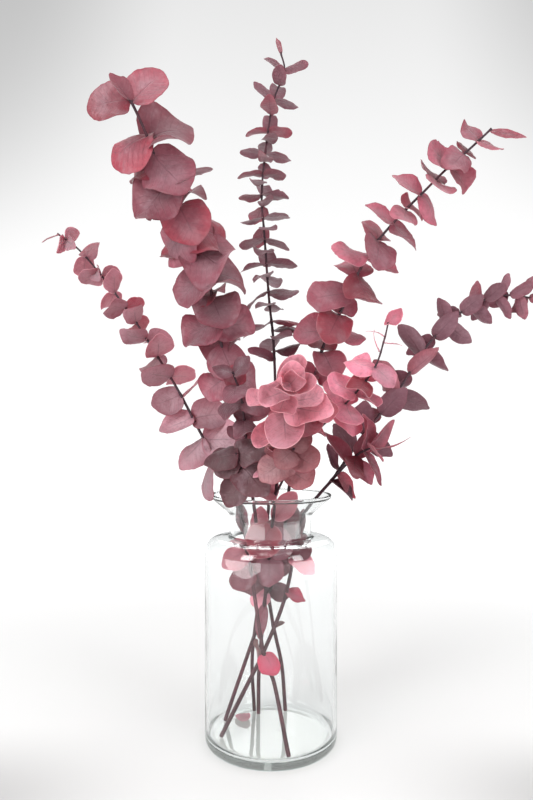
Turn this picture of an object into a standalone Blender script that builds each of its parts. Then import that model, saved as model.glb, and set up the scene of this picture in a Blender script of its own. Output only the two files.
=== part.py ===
"""A clear glass jar holding six cut stems of preserved red eucalyptus, with one leaf dropped on its floor.

The origin is the middle of the jar's underside and +Z is up. The front of the bunch looks along -Y.
Routes, sizes and leaf lengths are in millimetres.
"""

import bpy
import bmesh
import math
import random
from mathutils import Vector
from mathutils.bvhtree import BVHTree

MM = 0.001
WELD = 0.01 * MM

# The jar: a blown cylinder with a short neck and a flared collar
JAR_RADIUS = 70.0
JAR_HEIGHT = 260.0
JAR_WALL = 3.0
JAR_FLOOR = 6.5
HEEL_ROUND = 7.0
SHOULDER_LOW = 198.0
SHOULDER_ROUND = 16.0
NECK_RADIUS = 43.0
NECK_LOW = 216.0
NECK_HIGH = 241.0
RIM_RADIUS = 64.5
JAR_STEPS = 24
# The jar's outline as (radius, height), in four runs that the rounds of the heel and the shoulder join: the
# collar and the neck from outside, the floor from inside, the neck and the collar from inside, the lip's top
LIP = JAR_WALL / 2
TOP = JAR_HEIGHT - LIP
COLLAR_OUTSIDE = [(RIM_RADIUS - 0.6, TOP - 2.0), (RIM_RADIUS - 6.0, TOP - 5.5)]
COLLAR_OUTSIDE += [(NECK_RADIUS + 4.0, NECK_HIGH + 1.5), (NECK_RADIUS, NECK_HIGH - 2.0)]
COLLAR_OUTSIDE += [(NECK_RADIUS, NECK_LOW + 3.0), (NECK_RADIUS + 3.0, NECK_LOW)]
FLOOR_INSIDE = [(0.0, JAR_FLOOR), (56.0, JAR_FLOOR), (63.0, JAR_FLOOR + 2.5), (66.0, JAR_FLOOR + 8.0)]
FLOOR_INSIDE += [(JAR_RADIUS - JAR_WALL, JAR_FLOOR + 18.0)]
COLLAR_INSIDE = [(NECK_RADIUS - JAR_WALL + 1.5, NECK_LOW - 2.5), (NECK_RADIUS - JAR_WALL, NECK_LOW + 1.0)]
COLLAR_INSIDE += [(NECK_RADIUS - JAR_WALL, NECK_HIGH - 1.0), (NECK_RADIUS + 2.0, NECK_HIGH + 4.5)]
COLLAR_INSIDE += [(RIM_RADIUS - 7.5, TOP - 2.5), (RIM_RADIUS - 3.2, TOP)]
LIP_TOP = [(RIM_RADIUS - 2.2, JAR_HEIGHT - 0.3), (RIM_RADIUS - 1.2, JAR_HEIGHT)]
LIP_TOP += [(RIM_RADIUS - 0.2, TOP + 0.6)]
SHOULDER_TURN = 82
SHOULDER_STEPS_OUTSIDE = 4
SHOULDER_STEPS_INSIDE = 3
HEEL_STEPS = 3

# The way that leaves turned to the light face: to the front and a little up
LIGHT = Vector((0.0, -1.0, 0.2)).normalized()

# Stems and leaves. A leaf is kept clear of the glass, of the other stems' wood and of their leaves
SEAT_GAP = 0.3
LEAF_THICK = 0.7
CLEAR = 1.1
STEM_CLEAR = 1.0
GLASS_CLEAR = 2.0
ROUTE_STEP = 26.0
SMALL_LEAF = 34.0
FEW_SIDES = 6
SIDES = 7
FLAT = math.radians(0.6)
STRAIGHT = 1e-4
ROOT_OFFSET = 0.35
TIP_OVERLAP = 2.5
FINE_STEP = 2.0
NEAR = 4.0
PAIR_STAGGER = 0.8
SPREAD_RISE = 3

# The leaf dropped on the jar's floor: the middle of its base, its length and the way it points
FALLEN_BASE = (-34.0, 40.0)
FALLEN_LENGTH = 24.0
FALLEN_WAY = -75.0
FALLEN = dict(wide=0.74, tip=0.12, heart=0.05, roll=0.5, droop=-0.3, wave=0.0, ripple=0.0, twist=0.1)

# How a leaf that would touch another stem is bent clear: a swing round its stem, a lift and a smaller size
BENDS = [(0, 0, 1), (14, 0, 1), (-14, 0, 1), (0, -16, 1), (0, 16, 1), (28, 0, 0.95), (-28, 0, 0.95)]
BENDS += [(0, -34, 0.9), (0, 34, 0.9), (40, -18, 0.85), (-40, -18, 0.85), (30, 24, 0.8), (-30, 24, 0.8)]
BENDS += [(0, 0, 0.7), (50, -35, 0.7), (-50, -35, 0.7), (0, -50, 0.6), (40, 0, 0.5), (-40, 0, 0.5)]

# The margin's waves as (how many go round the leaf, how their start differs, share of the whole), and how
# much more one side curls than the other
RIPPLES = [(2, 1.0, 0.55), (3, 1.7, 0.65)]
UNEVEN = 1.6
# A leaf's outline, in radians round from its tip: how wide the tip and each lobe of the base are, and where
# the lobe lies
TIP_WIDE = 0.30
LOBE_WIDE = 0.40
LOBE_AT = 2.35
# What each leaf's draws range over: degrees round the stem and away from it, then shares of its kind's values
SWING_DRAW = (-12, 12)
LEAN_DRAW = (-10, 10)
LENGTH_DRAW = (0.9, 1.1)
WIDE_DRAW = (0.9, 1.08)
WAVE_DRAW = (0.2, 1.0)
TWIST_DRAW = (-0.35, 0.35)
# Each kind of leaf: width over length, the drawn-out tip, the heart-shaped base, and the angles that it curls
# through, from side to side and from base to tip, with how far its margin waves
DISC = dict(wide=1.12, tip=0.05, heart=0.14, roll=(-65, 50), droop=(-10, 65), wave=0.29, behind=0.13)
COIN = dict(wide=1.08, tip=0.04, heart=0.08, roll=(-12, 25), droop=(-8, 18), wave=0.06, behind=0.0)
ROUND = dict(wide=1.0, tip=0.12, heart=0.10, roll=(-32, 48), droop=(-25, 42), wave=0.13, behind=0.05)
OVAL = dict(wide=0.70, tip=0.10, heart=0.04, roll=(-30, 40), droop=(-15, 40), wave=0.08, behind=0.0)
POINTED = dict(wide=0.68, tip=0.24, heart=0.06, roll=(0, 75), droop=(-25, 40), wave=0.08, behind=0.0)
HEART = dict(wide=0.92, tip=0.22, heart=0.16, roll=(-60, 50), droop=(-10, 60), wave=0.17, behind=0.05)
PETAL = dict(wide=1.0, tip=0.06, heart=0.05, roll=(30, 100), droop=(-60, 10), wave=0.21, behind=0.0)
FOLDED = dict(wide=0.75, tip=0.35, heart=0.0, roll=(75, 95), droop=(-20, 0), wave=0.05, behind=0.0)
NARROW = dict(wide=0.42, tip=0.2, heart=0.0, roll=(0, 50), droop=(-10, 20), wave=0.05, behind=0.0)
DRAPED = dict(wide=0.75, tip=0.15, heart=0.05, roll=(-20, 0), droop=(80, 100), wave=0.04, behind=0.0)
SLIM = dict(wide=0.30, tip=0.30, heart=0.0, roll=(0, 60), droop=(-30, 50), wave=0.05, behind=0.0)
THREAD = dict(wide=0.16, tip=0.10, heart=0.0, roll=(0, 20), droop=(-30, 60), wave=0.02, behind=0.0)

# Each shoot: its route from root to tip, its girth, and its pairs of leaves. "pairs" gives each pair's
# distance back from the tip, "sizes" the leaf length at even steps from tip to root, "phase" the first
# pair's angle round the stem (0 is the viewer's right, 90 the far side), "spread" the angle between leaf
# and stem from tip to root, "facing" the share by which leaves turn their upper face to
# the light, or their lower face where it is below 0.
# Single leaves are (distance back, angle, spread, length, kind, facing); a distance below 0 is measured up
# from the cut end.
STEMS = {
    "stem_front": [
        dict(
            route=[(-14, 42, 8), (-13, 30, 63), (-7, 4, 140), (1, -22, 228), (5, -42, 268), (8, -64, 306),
                   (11, -92, 342), (13, -112, 360), (14, -134, 366)],
            girth=(2.2, 1.3), seed=1105, kind=PETAL, turn=34, phase=205, spread=(50, 96), facing=0.0,
            pairs=[2, 6, 12, 20, 31, 46, 66, 84],
            sizes=(19, 30, 35, 38, 38, 36, 32),
            single=[(36, 350, 84, 40, PETAL, 0.6), (58, 20, 80, 40, ROUND, 0.5),
                    (104, 200, 90, 32, ROUND, 0.4), (146, 185, 70, 40, HEART, 0.0),
                    (-140, 250, 165, 36, NARROW, 0.8),
                    (-232, 200, 150, 34, ROUND, 0.85), (-226, 330, 150, 32, ROUND, 0.85),
                    (-196, 215, 155, 34, ROUND, 0.85),
                    (-206, 250, 14, 36, OVAL, 0.9), (-240, 300, 20, 34, OVAL, 0.9)],
        ),
        dict(
            route=[(9, -62, 300), (22, -68, 324), (32, -82, 342), (38, -94, 350)],
            girth=(1.3, 1.0), seed=1201, kind=ROUND, turn=14, phase=20, spread=(70, 95), facing=0.2,
            pairs=[0, 9, 24],
            sizes=(27, 32, 30),
            single=[],
        ),
        dict(
            route=[(4, -37, 262), (12, -62, 282), (19, -84, 304), (20, -98, 311)],
            girth=(1.3, 1.0), seed=1309, kind=ROUND, turn=14, phase=60, spread=(60, 95), facing=0.2,
            pairs=[0, 8, 19, 33],
            sizes=(24, 31, 34, 34),
            single=[],
        ),
        dict(
            route=[(3, -34, 256), (-14, -50, 274), (-30, -62, 296), (-34, -66, 306)],
            girth=(1.3, 1.0), seed=14, kind=HEART, turn=14, phase=10, spread=(60, 90), facing=0.6,
            pairs=[0, 12, 27],
            sizes=(32, 40, 40),
            single=[],
        ),
    ],
    "stem_broad": [
        dict(
            route=[(17, 50, 8), (13, 44, 59), (6, 34, 95), (1, 26, 122), (-14, -10, 225), (-24, -26, 290),
                   (-36, -42, 350), (-48, -64, 410), (-58, -84, 465), (-68, -98, 493), (-77, -112, 515),
                   (-87, -126, 536), (-97, -142, 555), (-105, -158, 575), (-114, -172, 593)],
            girth=(2.2, 1.1), seed=2110, kind=DISC, turn=22, phase=200, spread=(80, 110), facing=0.58,
            pairs=[32, 52, 72, 92, 113, 134, 156, 179, 203, 229, 257],
            sizes=(40, 45, 46, 46, 45, 43, 38),
            single=[(2, 180, 64, 34, COIN, 0.95), (5, 0, 66, 33, COIN, 0.8), (4, 260, 34, 25, FOLDED, 0.0),
                    (300, 0, 80, 34, ROUND, 0.3), (-178, 200, 95, 40, HEART, 0.75),
                    (-150, 180, 120, 24, ROUND, 0.7), (-106, 0, 70, 13, OVAL, 0.3),
                    (-210, 190, 140, 32, ROUND, 0.85), (-218, 180, 15, 36, OVAL, 0.9)],
        ),
        dict(
            route=[(-22, -24, 284), (-25, -52, 318), (-28, -76, 356), (-36, -88, 382)],
            girth=(1.3, 1.0), seed=2209, kind=ROUND, turn=14, phase=180, spread=(60, 95), facing=0.3,
            pairs=[0, 14, 32, 50, 70, 90],
            sizes=(22, 27, 26, 24, 24),
            single=[],
        ),
    ],
    "stem_right": [
        dict(
            route=[(-51, 24, 8), (-22, 22, 91), (2, 25, 160), (15, 10, 225), (22, 0, 286), (34, -8, 338),
                   (46, -16, 385), (56, -22, 420), (74, -34, 455), (84, -42, 479), (101, -52, 509),
                   (125, -62, 536), (145, -70, 555), (165, -78, 574), (185, -86, 590), (202, -92, 605)],
            girth=(2.2, 1.0), seed=31, kind=ROUND, turn=24, phase=20, spread=(75, 92), facing=0.5,
            pairs=[14, 30, 47, 64, 82, 100, 119, 138, 158, 178, 198, 218, 238, 260, 283],
            sizes=(22, 31, 33, 36, 40, 39, 33),
            single=[(0, 0, 50, 30, NARROW, 0.8), (-152, 0, 115, 23, ROUND, 0.7),
                    (-214, 20, 130, 28, HEART, 0.7), (-190, 350, 140, 25, ROUND, 0.6),
                    (-216, 20, 14, 36, OVAL, 0.9)],
        ),
        dict(
            route=[(28, -3, 310), (54, -30, 334), (80, -50, 361), (100, -60, 388), (109, -62, 415),
                   (113, -62, 432)],
            girth=(1.2, 0.8), seed=32, kind=ROUND, turn=18, phase=20, spread=(55, 90), facing=0.45,
            pairs=[46, 60, 76, 92, 108],
            sizes=(18, 22, 30, 33, 32),
            single=[(0, 300, 20, 22, ROUND, 0.6), (14, 150, 60, 20, THREAD, 0.0),
                    (20, 20, 70, 18, THREAD, 0.0), (30, 160, 55, 22, THREAD, 0.0)],
        ),
    ],
    "stem_left": [
        dict(
            route=[(17, -54, 8), (3, -36, 73), (-7, -30, 97), (-24, -12, 200), (-32, -8, 238),
                   (-52, -6, 283), (-71, -4, 318), (-99, 2, 370), (-128, 10, 416), (-154, 18, 455),
                   (-187, 26, 498), (-213, 30, 528), (-238, 32, 547)],
            girth=(2.2, 0.9), seed=4104, kind=ROUND, turn=26, phase=30, spread=(95, 85), facing=-0.2,
            pairs=[9, 42, 70, 94, 116, 138, 160, 184, 210],
            sizes=(21, 23, 24, 26, 28, 31, 36),
            single=[(0, 180, 60, 19, OVAL, 0.3), (14, 270, 110, 27, POINTED, 0.0),
                    (64, 270, 110, 28, POINTED, 0.0), (316, 200, 95, 44, DRAPED, 0.0),
                    (234, 180, 80, 36, ROUND, 0.8), (238, 0, 70, 32, POINTED, 0.3),
                    (262, 350, 110, 42, HEART, 0.85), (262, 170, 100, 38, ROUND, 0.7),
                    (288, 0, 120, 42, ROUND, 0.8), (290, 180, 110, 38, HEART, 0.6),
                    (308, 90, 80, 34, ROUND, 0.4), (312, 0, 60, 36, HEART, 0.5),
                    (-99, 320, 115, 25, ROUND, 0.3), (-207, 190, 125, 30, ROUND, 0.85),
                    (-232, 190, 150, 32, ROUND, 0.85), (-184, 200, 130, 24, ROUND, 0.8),
                    (-222, 190, 12, 30, NARROW, 0.9)],
        ),
    ],
    "stem_outer": [
        dict(
            route=[(-52, -12, 8), (-19, -15, 74), (-9, -15, 94), (14, -9, 150), (30, -3, 222), (36, 0, 240),
                   (54, 1, 262), (69, 4, 279), (97, 12, 318), (121, 18, 347), (147, 24, 381),
                   (168, 28, 414), (190, 32, 439), (214, 34, 460), (243, 36, 475), (264, 36, 479),
                   (281, 36, 478), (292, 36, 476)],
            girth=(2.3, 1.0), seed=5102, kind=POINTED, turn=20, phase=90, spread=(62, 66), facing=-0.5,
            pairs=[0, 13, 24, 38, 52, 68, 84, 104, 126, 150, 176, 204, 232, 262],
            sizes=(25, 27, 29, 31, 34, 38, 37, 34),
            single=[(-90, 180, 40, 23, ROUND, 0.3),
                    (-165, 0, 110, 22, HEART, 0.4), (-206, 350, 125, 26, HEART, 0.6),
                    (-226, 330, 150, 26, ROUND, 0.7), (-224, 340, 14, 30, NARROW, 0.9),
                    (-294, 330, 70, 28, POINTED, 0.5), (-306, 160, 80, 30, POINTED, 0.3),
                    (-322, 20, 75, 32, POINTED, -0.3), (-336, 200, 75, 34, POINTED, -0.4)],
        ),
        dict(
            route=[(68, 3, 277), (78, -18, 292), (89, -32, 304), (102, -40, 311)],
            girth=(1.3, 1.0), seed=52, kind=POINTED, turn=20, phase=90, spread=(55, 75), facing=0.2,
            pairs=[0, 10, 22, 34],
            sizes=(32, 36, 34),
            single=[(2, 350, 20, 36, SLIM, 0.0), (56, 0, 150, 30, POINTED, 0.4)],
        ),
    ],
    "stem_upright": [
        dict(
            route=[(-19, 50, 8), (-21, 43, 72), (-12, 34, 150), (-4, 27, 228), (2, 26, 300), (5, 26, 361),
                   (3, 26, 425), (-2, 26, 474), (-7, 26, 543), (-10, 26, 589), (-5, 26, 643), (3, 26, 692),
                   (15, 26, 724), (11, 26, 746)],
            girth=(2.2, 0.9), seed=61, kind=OVAL, turn=26, phase=0, spread=(65, 98), facing=-0.08,
            pairs=[22, 38, 54, 72, 90, 102, 114, 126, 138, 150, 162, 174, 186, 198, 211, 224, 238, 252, 268,
                   284, 302, 322],
            sizes=(24, 27, 27, 26, 29, 31, 33, 33),
            single=[(2, 100, 8, 26, SLIM, 0.0), (-192, 170, 110, 26, OVAL, 0.2),
                    (-214, 180, 140, 28, ROUND, 0.8),
                    (312, 0, 80, 29, OVAL, 0.4), (336, 10, 80, 30, OVAL, 0.4),
                    (344, 180, 85, 28, OVAL, 0.4)],
        ),
    ],
}


# Plain colours, and how rough and how clear each surface is
COLOURS = {"stem_front": (0.50, 0.17, 0.23), "stem_broad": (0.33, 0.09, 0.12)}
COLOURS |= {"stem_right": (0.42, 0.13, 0.19), "stem_left": (0.42, 0.17, 0.23)}
COLOURS |= {"stem_outer": (0.17, 0.06, 0.09), "stem_upright": (0.24, 0.09, 0.12)}
COLOURS |= {"jar": (0.86, 0.91, 0.90), "fallen_leaf": (0.48, 0.20, 0.28)}
GLASS_ROUGH = 0.03
GLASS_ALPHA = 0.35
LEAF_ROUGH = 0.6


def lerp(low, high, share):
    return low + (high - low) * share


def along(values, share):
    """The value a share of the way along a list of values."""
    place = min(max(share, 0.0), 1.0) * (len(values) - 1)
    first = min(int(place), len(values) - 2)
    return lerp(values[first], values[first + 1], place - first)


def smooth_route(points):
    """Points a short step apart on a smooth curve through the route's own points."""
    pts = [Vector(p) for p in points]
    pts = [2 * pts[0] - pts[1]] + pts + [2 * pts[-1] - pts[-2]]
    route = []
    for a, b, c, d in zip(pts, pts[1:], pts[2:], pts[3:]):
        steps = max(1, round((c - b).length / ROUTE_STEP))
        for i in range(steps):
            t = i / steps
            route.append(0.5 * (2 * b + (c - a) * t + (2 * a - 5 * b + 4 * c - d) * t * t
                                + (3 * b - a - 3 * c + d) * t ** 3))
    return route + [pts[-2]]


def place_on(route, back):
    """The point a distance back from the route's tip, and the way the shoot grows there."""
    for high, low in zip(route[::-1], route[-2::-1]):
        gap = (high - low).length
        if back <= gap:
            break
        back -= gap
    return high.lerp(low, min(back / gap, 1.0)), (high - low).normalized()


def length_of(route):
    return sum((b - a).length for a, b in zip(route, route[1:]))


def bent(distance, angle):
    """A length laid on an arc that turns through the angle: how far it gets, and how far it rises."""
    if abs(angle) < STRAIGHT:
        return distance, 0.0
    return distance * math.sin(angle) / angle, distance * (1 - math.cos(angle)) / angle


def margin(leaf, angle):
    """How far the leaf's edge is from its middle, as a share of its length, at an angle from the tip."""
    turn = abs((angle + math.pi) % math.tau - math.pi)
    pull = leaf["tip"] * math.exp(-((turn / TIP_WIDE) ** 2))
    pull += leaf["heart"] * math.exp(-(((turn - LOBE_AT) / LOBE_WIDE) ** 2))
    return 0.5 * (1 + pull)


def leaf_point(leaf, angle, reach):
    """A point of the leaf's middle surface, at an angle from its tip and a share of the way to its edge."""
    edge = margin(leaf, angle) * reach
    forward = (0.5 + edge * math.cos(angle)) * leaf["length"]
    aside = edge * math.sin(angle) * leaf["wide"] * leaf["length"]
    half = 0.5 * leaf["wide"] * leaf["length"]
    roll = leaf["roll"] * (1 + UNEVEN * leaf["twist"] * math.copysign(1, aside))
    across, rise = bent(aside, roll * aside / half)
    ripple = sum(share * math.sin(count * angle + start * leaf["ripple"]) for count, start, share in RIPPLES)
    rise += leaf["wave"] * leaf["length"] * ripple * reach ** 3
    rise += leaf["twist"] * across * forward / leaf["length"]
    bend = leaf["droop"] * forward / leaf["length"]
    run, fall = bent(forward, bend)
    upper = leaf["upper"] * math.cos(bend) + leaf["out"] * math.sin(bend)
    return leaf["root"] + leaf["out"] * run - leaf["upper"] * fall + leaf["side"] * across + upper * rise


def make_leaf(route, back, angle, spread, length, kind, facing, draw):
    """One leaf: its root on the stem, the way it points, and its shape. Every leaf takes the same draws."""
    leaf = dict(kind)
    root, grow = place_on(route, max(back, TIP_OVERLAP))
    right = Vector((0, 1, 0)).cross(grow).normalized()
    round_stem = math.radians(angle + draw.uniform(*SWING_DRAW))
    radial = right * math.cos(round_stem) + grow.cross(right) * math.sin(round_stem)
    lean = math.radians(spread + draw.uniform(*LEAN_DRAW))
    leaf["out"] = grow * math.cos(lean) + radial * math.sin(lean)
    leaf["upper"] = grow * math.sin(lean) - radial * math.cos(lean)
    leaf["upper"] = leaf["upper"].lerp(LIGHT * math.copysign(1, facing), abs(facing)).normalized()
    leaf["out"] = (leaf["out"] - leaf["upper"] * leaf["out"].dot(leaf["upper"])).normalized()
    leaf["side"] = leaf["upper"].cross(leaf["out"])
    leaf["length"] = length * draw.uniform(*LENGTH_DRAW)
    leaf["root"] = root + leaf["out"] * (ROOT_OFFSET - kind["behind"] * leaf["length"])
    leaf["wide"] = kind["wide"] * draw.uniform(*WIDE_DRAW)
    leaf["roll"] = math.radians(draw.uniform(*kind["roll"]))
    leaf["droop"] = math.radians(draw.uniform(*kind["droop"]))
    leaf["wave"] = kind["wave"] * draw.uniform(*WAVE_DRAW)
    leaf["ripple"] = draw.uniform(0, math.tau)
    leaf["twist"] = draw.uniform(*TWIST_DRAW)
    return leaf


def leaf_mesh(leaf, sides, rings):
    """The leaf's middle surface: points and triangles, in rings round its middle."""
    points = [leaf_point(leaf, 0, 0)]
    for reach in rings:
        points += [leaf_point(leaf, math.tau * i / sides, reach) for i in range(sides)]
    faces = [(0, 1 + i, 1 + (i + 1) % sides) for i in range(sides)]
    for ring in range(len(rings) - 1):
        first = 1 + ring * sides
        for i in range(sides):
            a, b = first + i, first + (i + 1) % sides
            faces += [(a, a + sides, b), (b, a + sides, b + sides)]
    return points, faces


def plain_mesh(leaf):
    return leaf_mesh(leaf, FEW_SIDES if leaf["length"] < SMALL_LEAF else SIDES, (1.0,))


def thickened(points, faces, thickness):
    """The same surface as a closed slab of points and faces, for testing whether two leaves touch."""
    normals = [Vector() for _ in points]
    for a, b, c in faces:
        face = (points[b] - points[a]).cross(points[c] - points[a])
        for i in (a, b, c):
            normals[i] += face
    lift = [n.normalized() * thickness / 2 for n in normals]
    count = len(points)
    slab = [p + n for p, n in zip(points, lift)] + [p - n for p, n in zip(points, lift)]
    sides = [(a, a + count, b, b + count) for a, b in edge_loop(faces)]
    skirt = [f for a, c, b, d in sides for f in ((a, c, b), (b, c, d))]
    return slab, faces + [(c + count, b + count, a + count) for a, b, c in faces] + skirt


def edge_loop(faces):
    """The open edges of a surface, each given once."""
    edges = {(a, b) for f in faces for a, b in zip(f, f[1:] + f[:1])}
    return sorted((a, b) for a, b in edges if (b, a) not in edges)


def glass_inside(height):
    """The jar's inner radius at a height, and its outer one."""
    if height < SHOULDER_LOW:
        return JAR_RADIUS - JAR_WALL, JAR_RADIUS
    if height < NECK_LOW:
        share = (height - SHOULDER_LOW) / (NECK_LOW - SHOULDER_LOW)
        inner = JAR_RADIUS - JAR_WALL - (JAR_RADIUS - NECK_RADIUS) * share ** 2
        return min(inner, JAR_RADIUS - JAR_WALL), JAR_RADIUS
    if height < NECK_HIGH:
        return NECK_RADIUS - JAR_WALL, NECK_RADIUS
    share = min((height - NECK_HIGH) / (JAR_HEIGHT - NECK_HIGH), 1.0)
    outer = lerp(NECK_RADIUS, RIM_RADIUS, share)
    return outer - JAR_WALL, outer


def meets_glass(points):
    """Whether a leaf with these points would touch the jar."""
    sides = set()
    for p in points:
        if p.z > JAR_HEIGHT + GLASS_CLEAR:
            continue
        inner, outer = glass_inside(p.z)
        radius = math.hypot(p.x, p.y)
        if radius < inner - GLASS_CLEAR and p.z > JAR_FLOOR + GLASS_CLEAR:
            sides.add("inside")
        elif radius > outer + GLASS_CLEAR:
            sides.add("outside")
        else:
            return True
    return len(sides) > 1


def meets_stem(tree, points, route, girths):
    """Whether a leaf comes near a shoot. Its box, a little enlarged, rules out most points at once."""
    low = Vector([min(p[i] for p in points) - NEAR for i in range(3)])
    high = Vector([max(p[i] for p in points) + NEAR for i in range(3)])
    for point, girth in zip(route, girths):
        if all(low[i] < point[i] < high[i] for i in range(3)):
            if tree.find_nearest(point, girth + LEAF_THICK / 2 + STEM_CLEAR)[0] is not None:
                return True
    return False


def fine_route(shoot):
    """The stem's points 2 mm apart and its radius at each, for testing what comes near it."""
    route = smooth_route(shoot["route"])
    points, girths = [], []
    for i, (a, b) in enumerate(zip(route, route[1:])):
        steps = max(1, round((b - a).length / FINE_STEP))
        for j in range(steps):
            points.append(a.lerp(b, j / steps))
            girths.append(lerp(*shoot["girth"], (i + j / steps) / (len(route) - 1)))
    return points + [route[-1]], girths + [shoot["girth"][1]]


def shoot_leaves(shoot):
    """Every leaf of a shoot as its settings, before any is bent clear."""
    route = smooth_route(shoot["route"])
    draw = random.Random(shoot["seed"])
    whole = length_of(route)
    reach = max(shoot["pairs"]) or 1
    for number, back in enumerate(shoot["pairs"]):
        share = back / reach
        size = along(shoot["sizes"], share)
        spread = lerp(*shoot["spread"], min(share * SPREAD_RISE, 1.0))
        angle = shoot["phase"] + 90 * number + draw.uniform(-shoot["turn"], shoot["turn"])
        for side in (0, 180):
            stagger = PAIR_STAGGER if side else 0.0
            place = (route, min(back + stagger, whole), angle + side, spread)
            yield *place, size, shoot["kind"], shoot["facing"]
    for back, angle, spread, size, kind, facing in shoot["single"]:
        back = back + whole if back < 0 else back
        yield route, back, angle, spread, size, kind, facing


def grown_leaves():
    """Each stem's leaves, bent clear of the glass and of the other stems. One that can't be is left off."""
    stems = {name: [fine_route(s) for s in shoots] for name, shoots in STEMS.items()}
    taken, leaves = {}, {}
    for name, shoots in STEMS.items():
        others = [tree for trees in taken.values() for tree in trees]
        taken[name], leaves[name] = [], []
        for shoot in shoots:
            draw = random.Random(shoot["seed"])
            for route, back, angle, spread, size, *habit in shoot_leaves(shoot):
                state = draw.getstate()
                for swing, lift, scale in BENDS:
                    draw.setstate(state)
                    leaf = make_leaf(route, back, angle + swing, spread + lift, size * scale, *habit, draw)
                    slab, faces = thickened(*plain_mesh(leaf), LEAF_THICK + 2 * CLEAR)
                    if meets_glass(slab):
                        continue
                    tree = BVHTree.FromPolygons(slab, faces)
                    if any(meets_stem(tree, slab, *s) for key in stems if key != name for s in stems[key]):
                        continue
                    if any(tree.overlap(other) for other in others):
                        continue
                    taken[name].append(tree)
                    leaves[name].append(leaf)
                    break
    return leaves


def finish(name, colour, roughness, alpha=1.0):
    """A plain material in the part's colour."""
    material = bpy.data.materials.new(name)
    material.use_nodes = True
    shader = material.node_tree.nodes["Principled BSDF"]
    shader.inputs["Base Color"].default_value = (*colour, 1.0)
    shader.inputs["Roughness"].default_value = roughness
    shader.inputs["Metallic"].default_value = 0.0
    shader.inputs["Alpha"].default_value = alpha
    return material


def new_object(name, data, collection, material=None):
    thing = bpy.data.objects.new(name, data)
    collection.objects.link(thing)
    if material:
        data.materials.append(material)
    return thing


def arc(centre, radius, start, end, steps):
    """Points on an arc of a profile, as (radius, height), between two angles in degrees."""
    for i in range(steps + 1):
        turn = math.radians(lerp(start, end, i / steps))
        yield centre[0] + radius * math.cos(turn), centre[1] + radius * math.sin(turn)


def jar_profile():
    """Down the outside from the lip to the middle of the underside, then up the inside to the lip again."""
    shoulder = (JAR_RADIUS - SHOULDER_ROUND, SHOULDER_LOW)
    outside = [*COLLAR_OUTSIDE, *arc(shoulder, SHOULDER_ROUND, SHOULDER_TURN, 0, SHOULDER_STEPS_OUTSIDE)]
    outside += [*arc((JAR_RADIUS - HEEL_ROUND, HEEL_ROUND), HEEL_ROUND, 0, -90, HEEL_STEPS), (0.0, 0.0)]
    inside = [*arc(shoulder, SHOULDER_ROUND - JAR_WALL, 0, SHOULDER_TURN, SHOULDER_STEPS_INSIDE)]
    return outside + FLOOR_INSIDE + inside + COLLAR_INSIDE + LIP_TOP


def make_jar(collection):
    mesh = bpy.data.meshes.new("jar")
    points = [(r * MM, 0.0, z * MM) for r, z in jar_profile()]
    axis = sum(r == 0 for r, _ in jar_profile())
    ends = [i for i, p in enumerate(points) if p[0] == 0]
    edges = [(i, (i + 1) % len(points)) for i in range(len(points))]
    edges = [e for e in edges if not (axis == 2 and set(e) == set(ends))]
    mesh.from_pydata(points, edges, [])
    jar = new_object("jar", mesh, collection, finish("glass", COLOURS["jar"], GLASS_ROUGH, GLASS_ALPHA))
    screw = jar.modifiers.new("turned", "SCREW")
    screw.steps = screw.render_steps = JAR_STEPS
    screw.use_merge_vertices = True
    screw.merge_threshold = WELD
    return jar


def seated(shoot):
    """The route with its cut end set just above the jar's floor, allowing for the slant of the cut."""
    route = smooth_route(shoot["route"])
    grow = (route[1] - route[0]).normalized()
    slant = math.hypot(grow.x, grow.y) * shoot["girth"][0]
    if route[0].z < 2 * JAR_FLOOR:
        route[0].z = JAR_FLOOR + SEAT_GAP + slant
    return route


def tube(name, shoot, collection):
    """The woody shoot: a tapering round tube along its route, as a closed mesh."""
    route = seated(shoot)
    curve = bpy.data.curves.new(name, "CURVE")
    curve.dimensions = "3D"
    curve.bevel_depth = MM
    curve.bevel_resolution = 0
    curve.use_fill_caps = True
    spline = curve.splines.new("POLY")
    spline.points.add(len(route) - 1)
    for i, point in enumerate(route):
        spline.points[i].co = (*(point * MM), 1.0)
        spline.points[i].radius = lerp(*shoot["girth"], i / (len(route) - 1))
    rod = new_object(name + "_curve", curve, collection)
    bpy.context.view_layer.update()
    mesh = bpy.data.meshes.new_from_object(rod.evaluated_get(bpy.context.evaluated_depsgraph_get()))
    bpy.data.objects.remove(rod)
    form = bmesh.new()
    form.from_mesh(mesh)
    bmesh.ops.remove_doubles(form, verts=form.verts, dist=WELD)
    bmesh.ops.triangulate(form, faces=form.faces)
    bmesh.ops.recalc_face_normals(form, faces=form.faces)
    form.to_mesh(mesh)
    form.free()
    return new_object(name, mesh, collection)


def blade(name, leaf, collection):
    """One leaf as a thin closed solid, split into triangles alike on both faces."""
    points, faces = thickened(*plain_mesh(leaf), LEAF_THICK)
    mesh = bpy.data.meshes.new(name)
    mesh.from_pydata([p * MM for p in points], [], faces)
    form = bmesh.new()
    form.from_mesh(mesh)
    bmesh.ops.recalc_face_normals(form, faces=form.faces)
    form.to_mesh(mesh)
    form.free()
    return new_object(name, mesh, collection)


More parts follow.
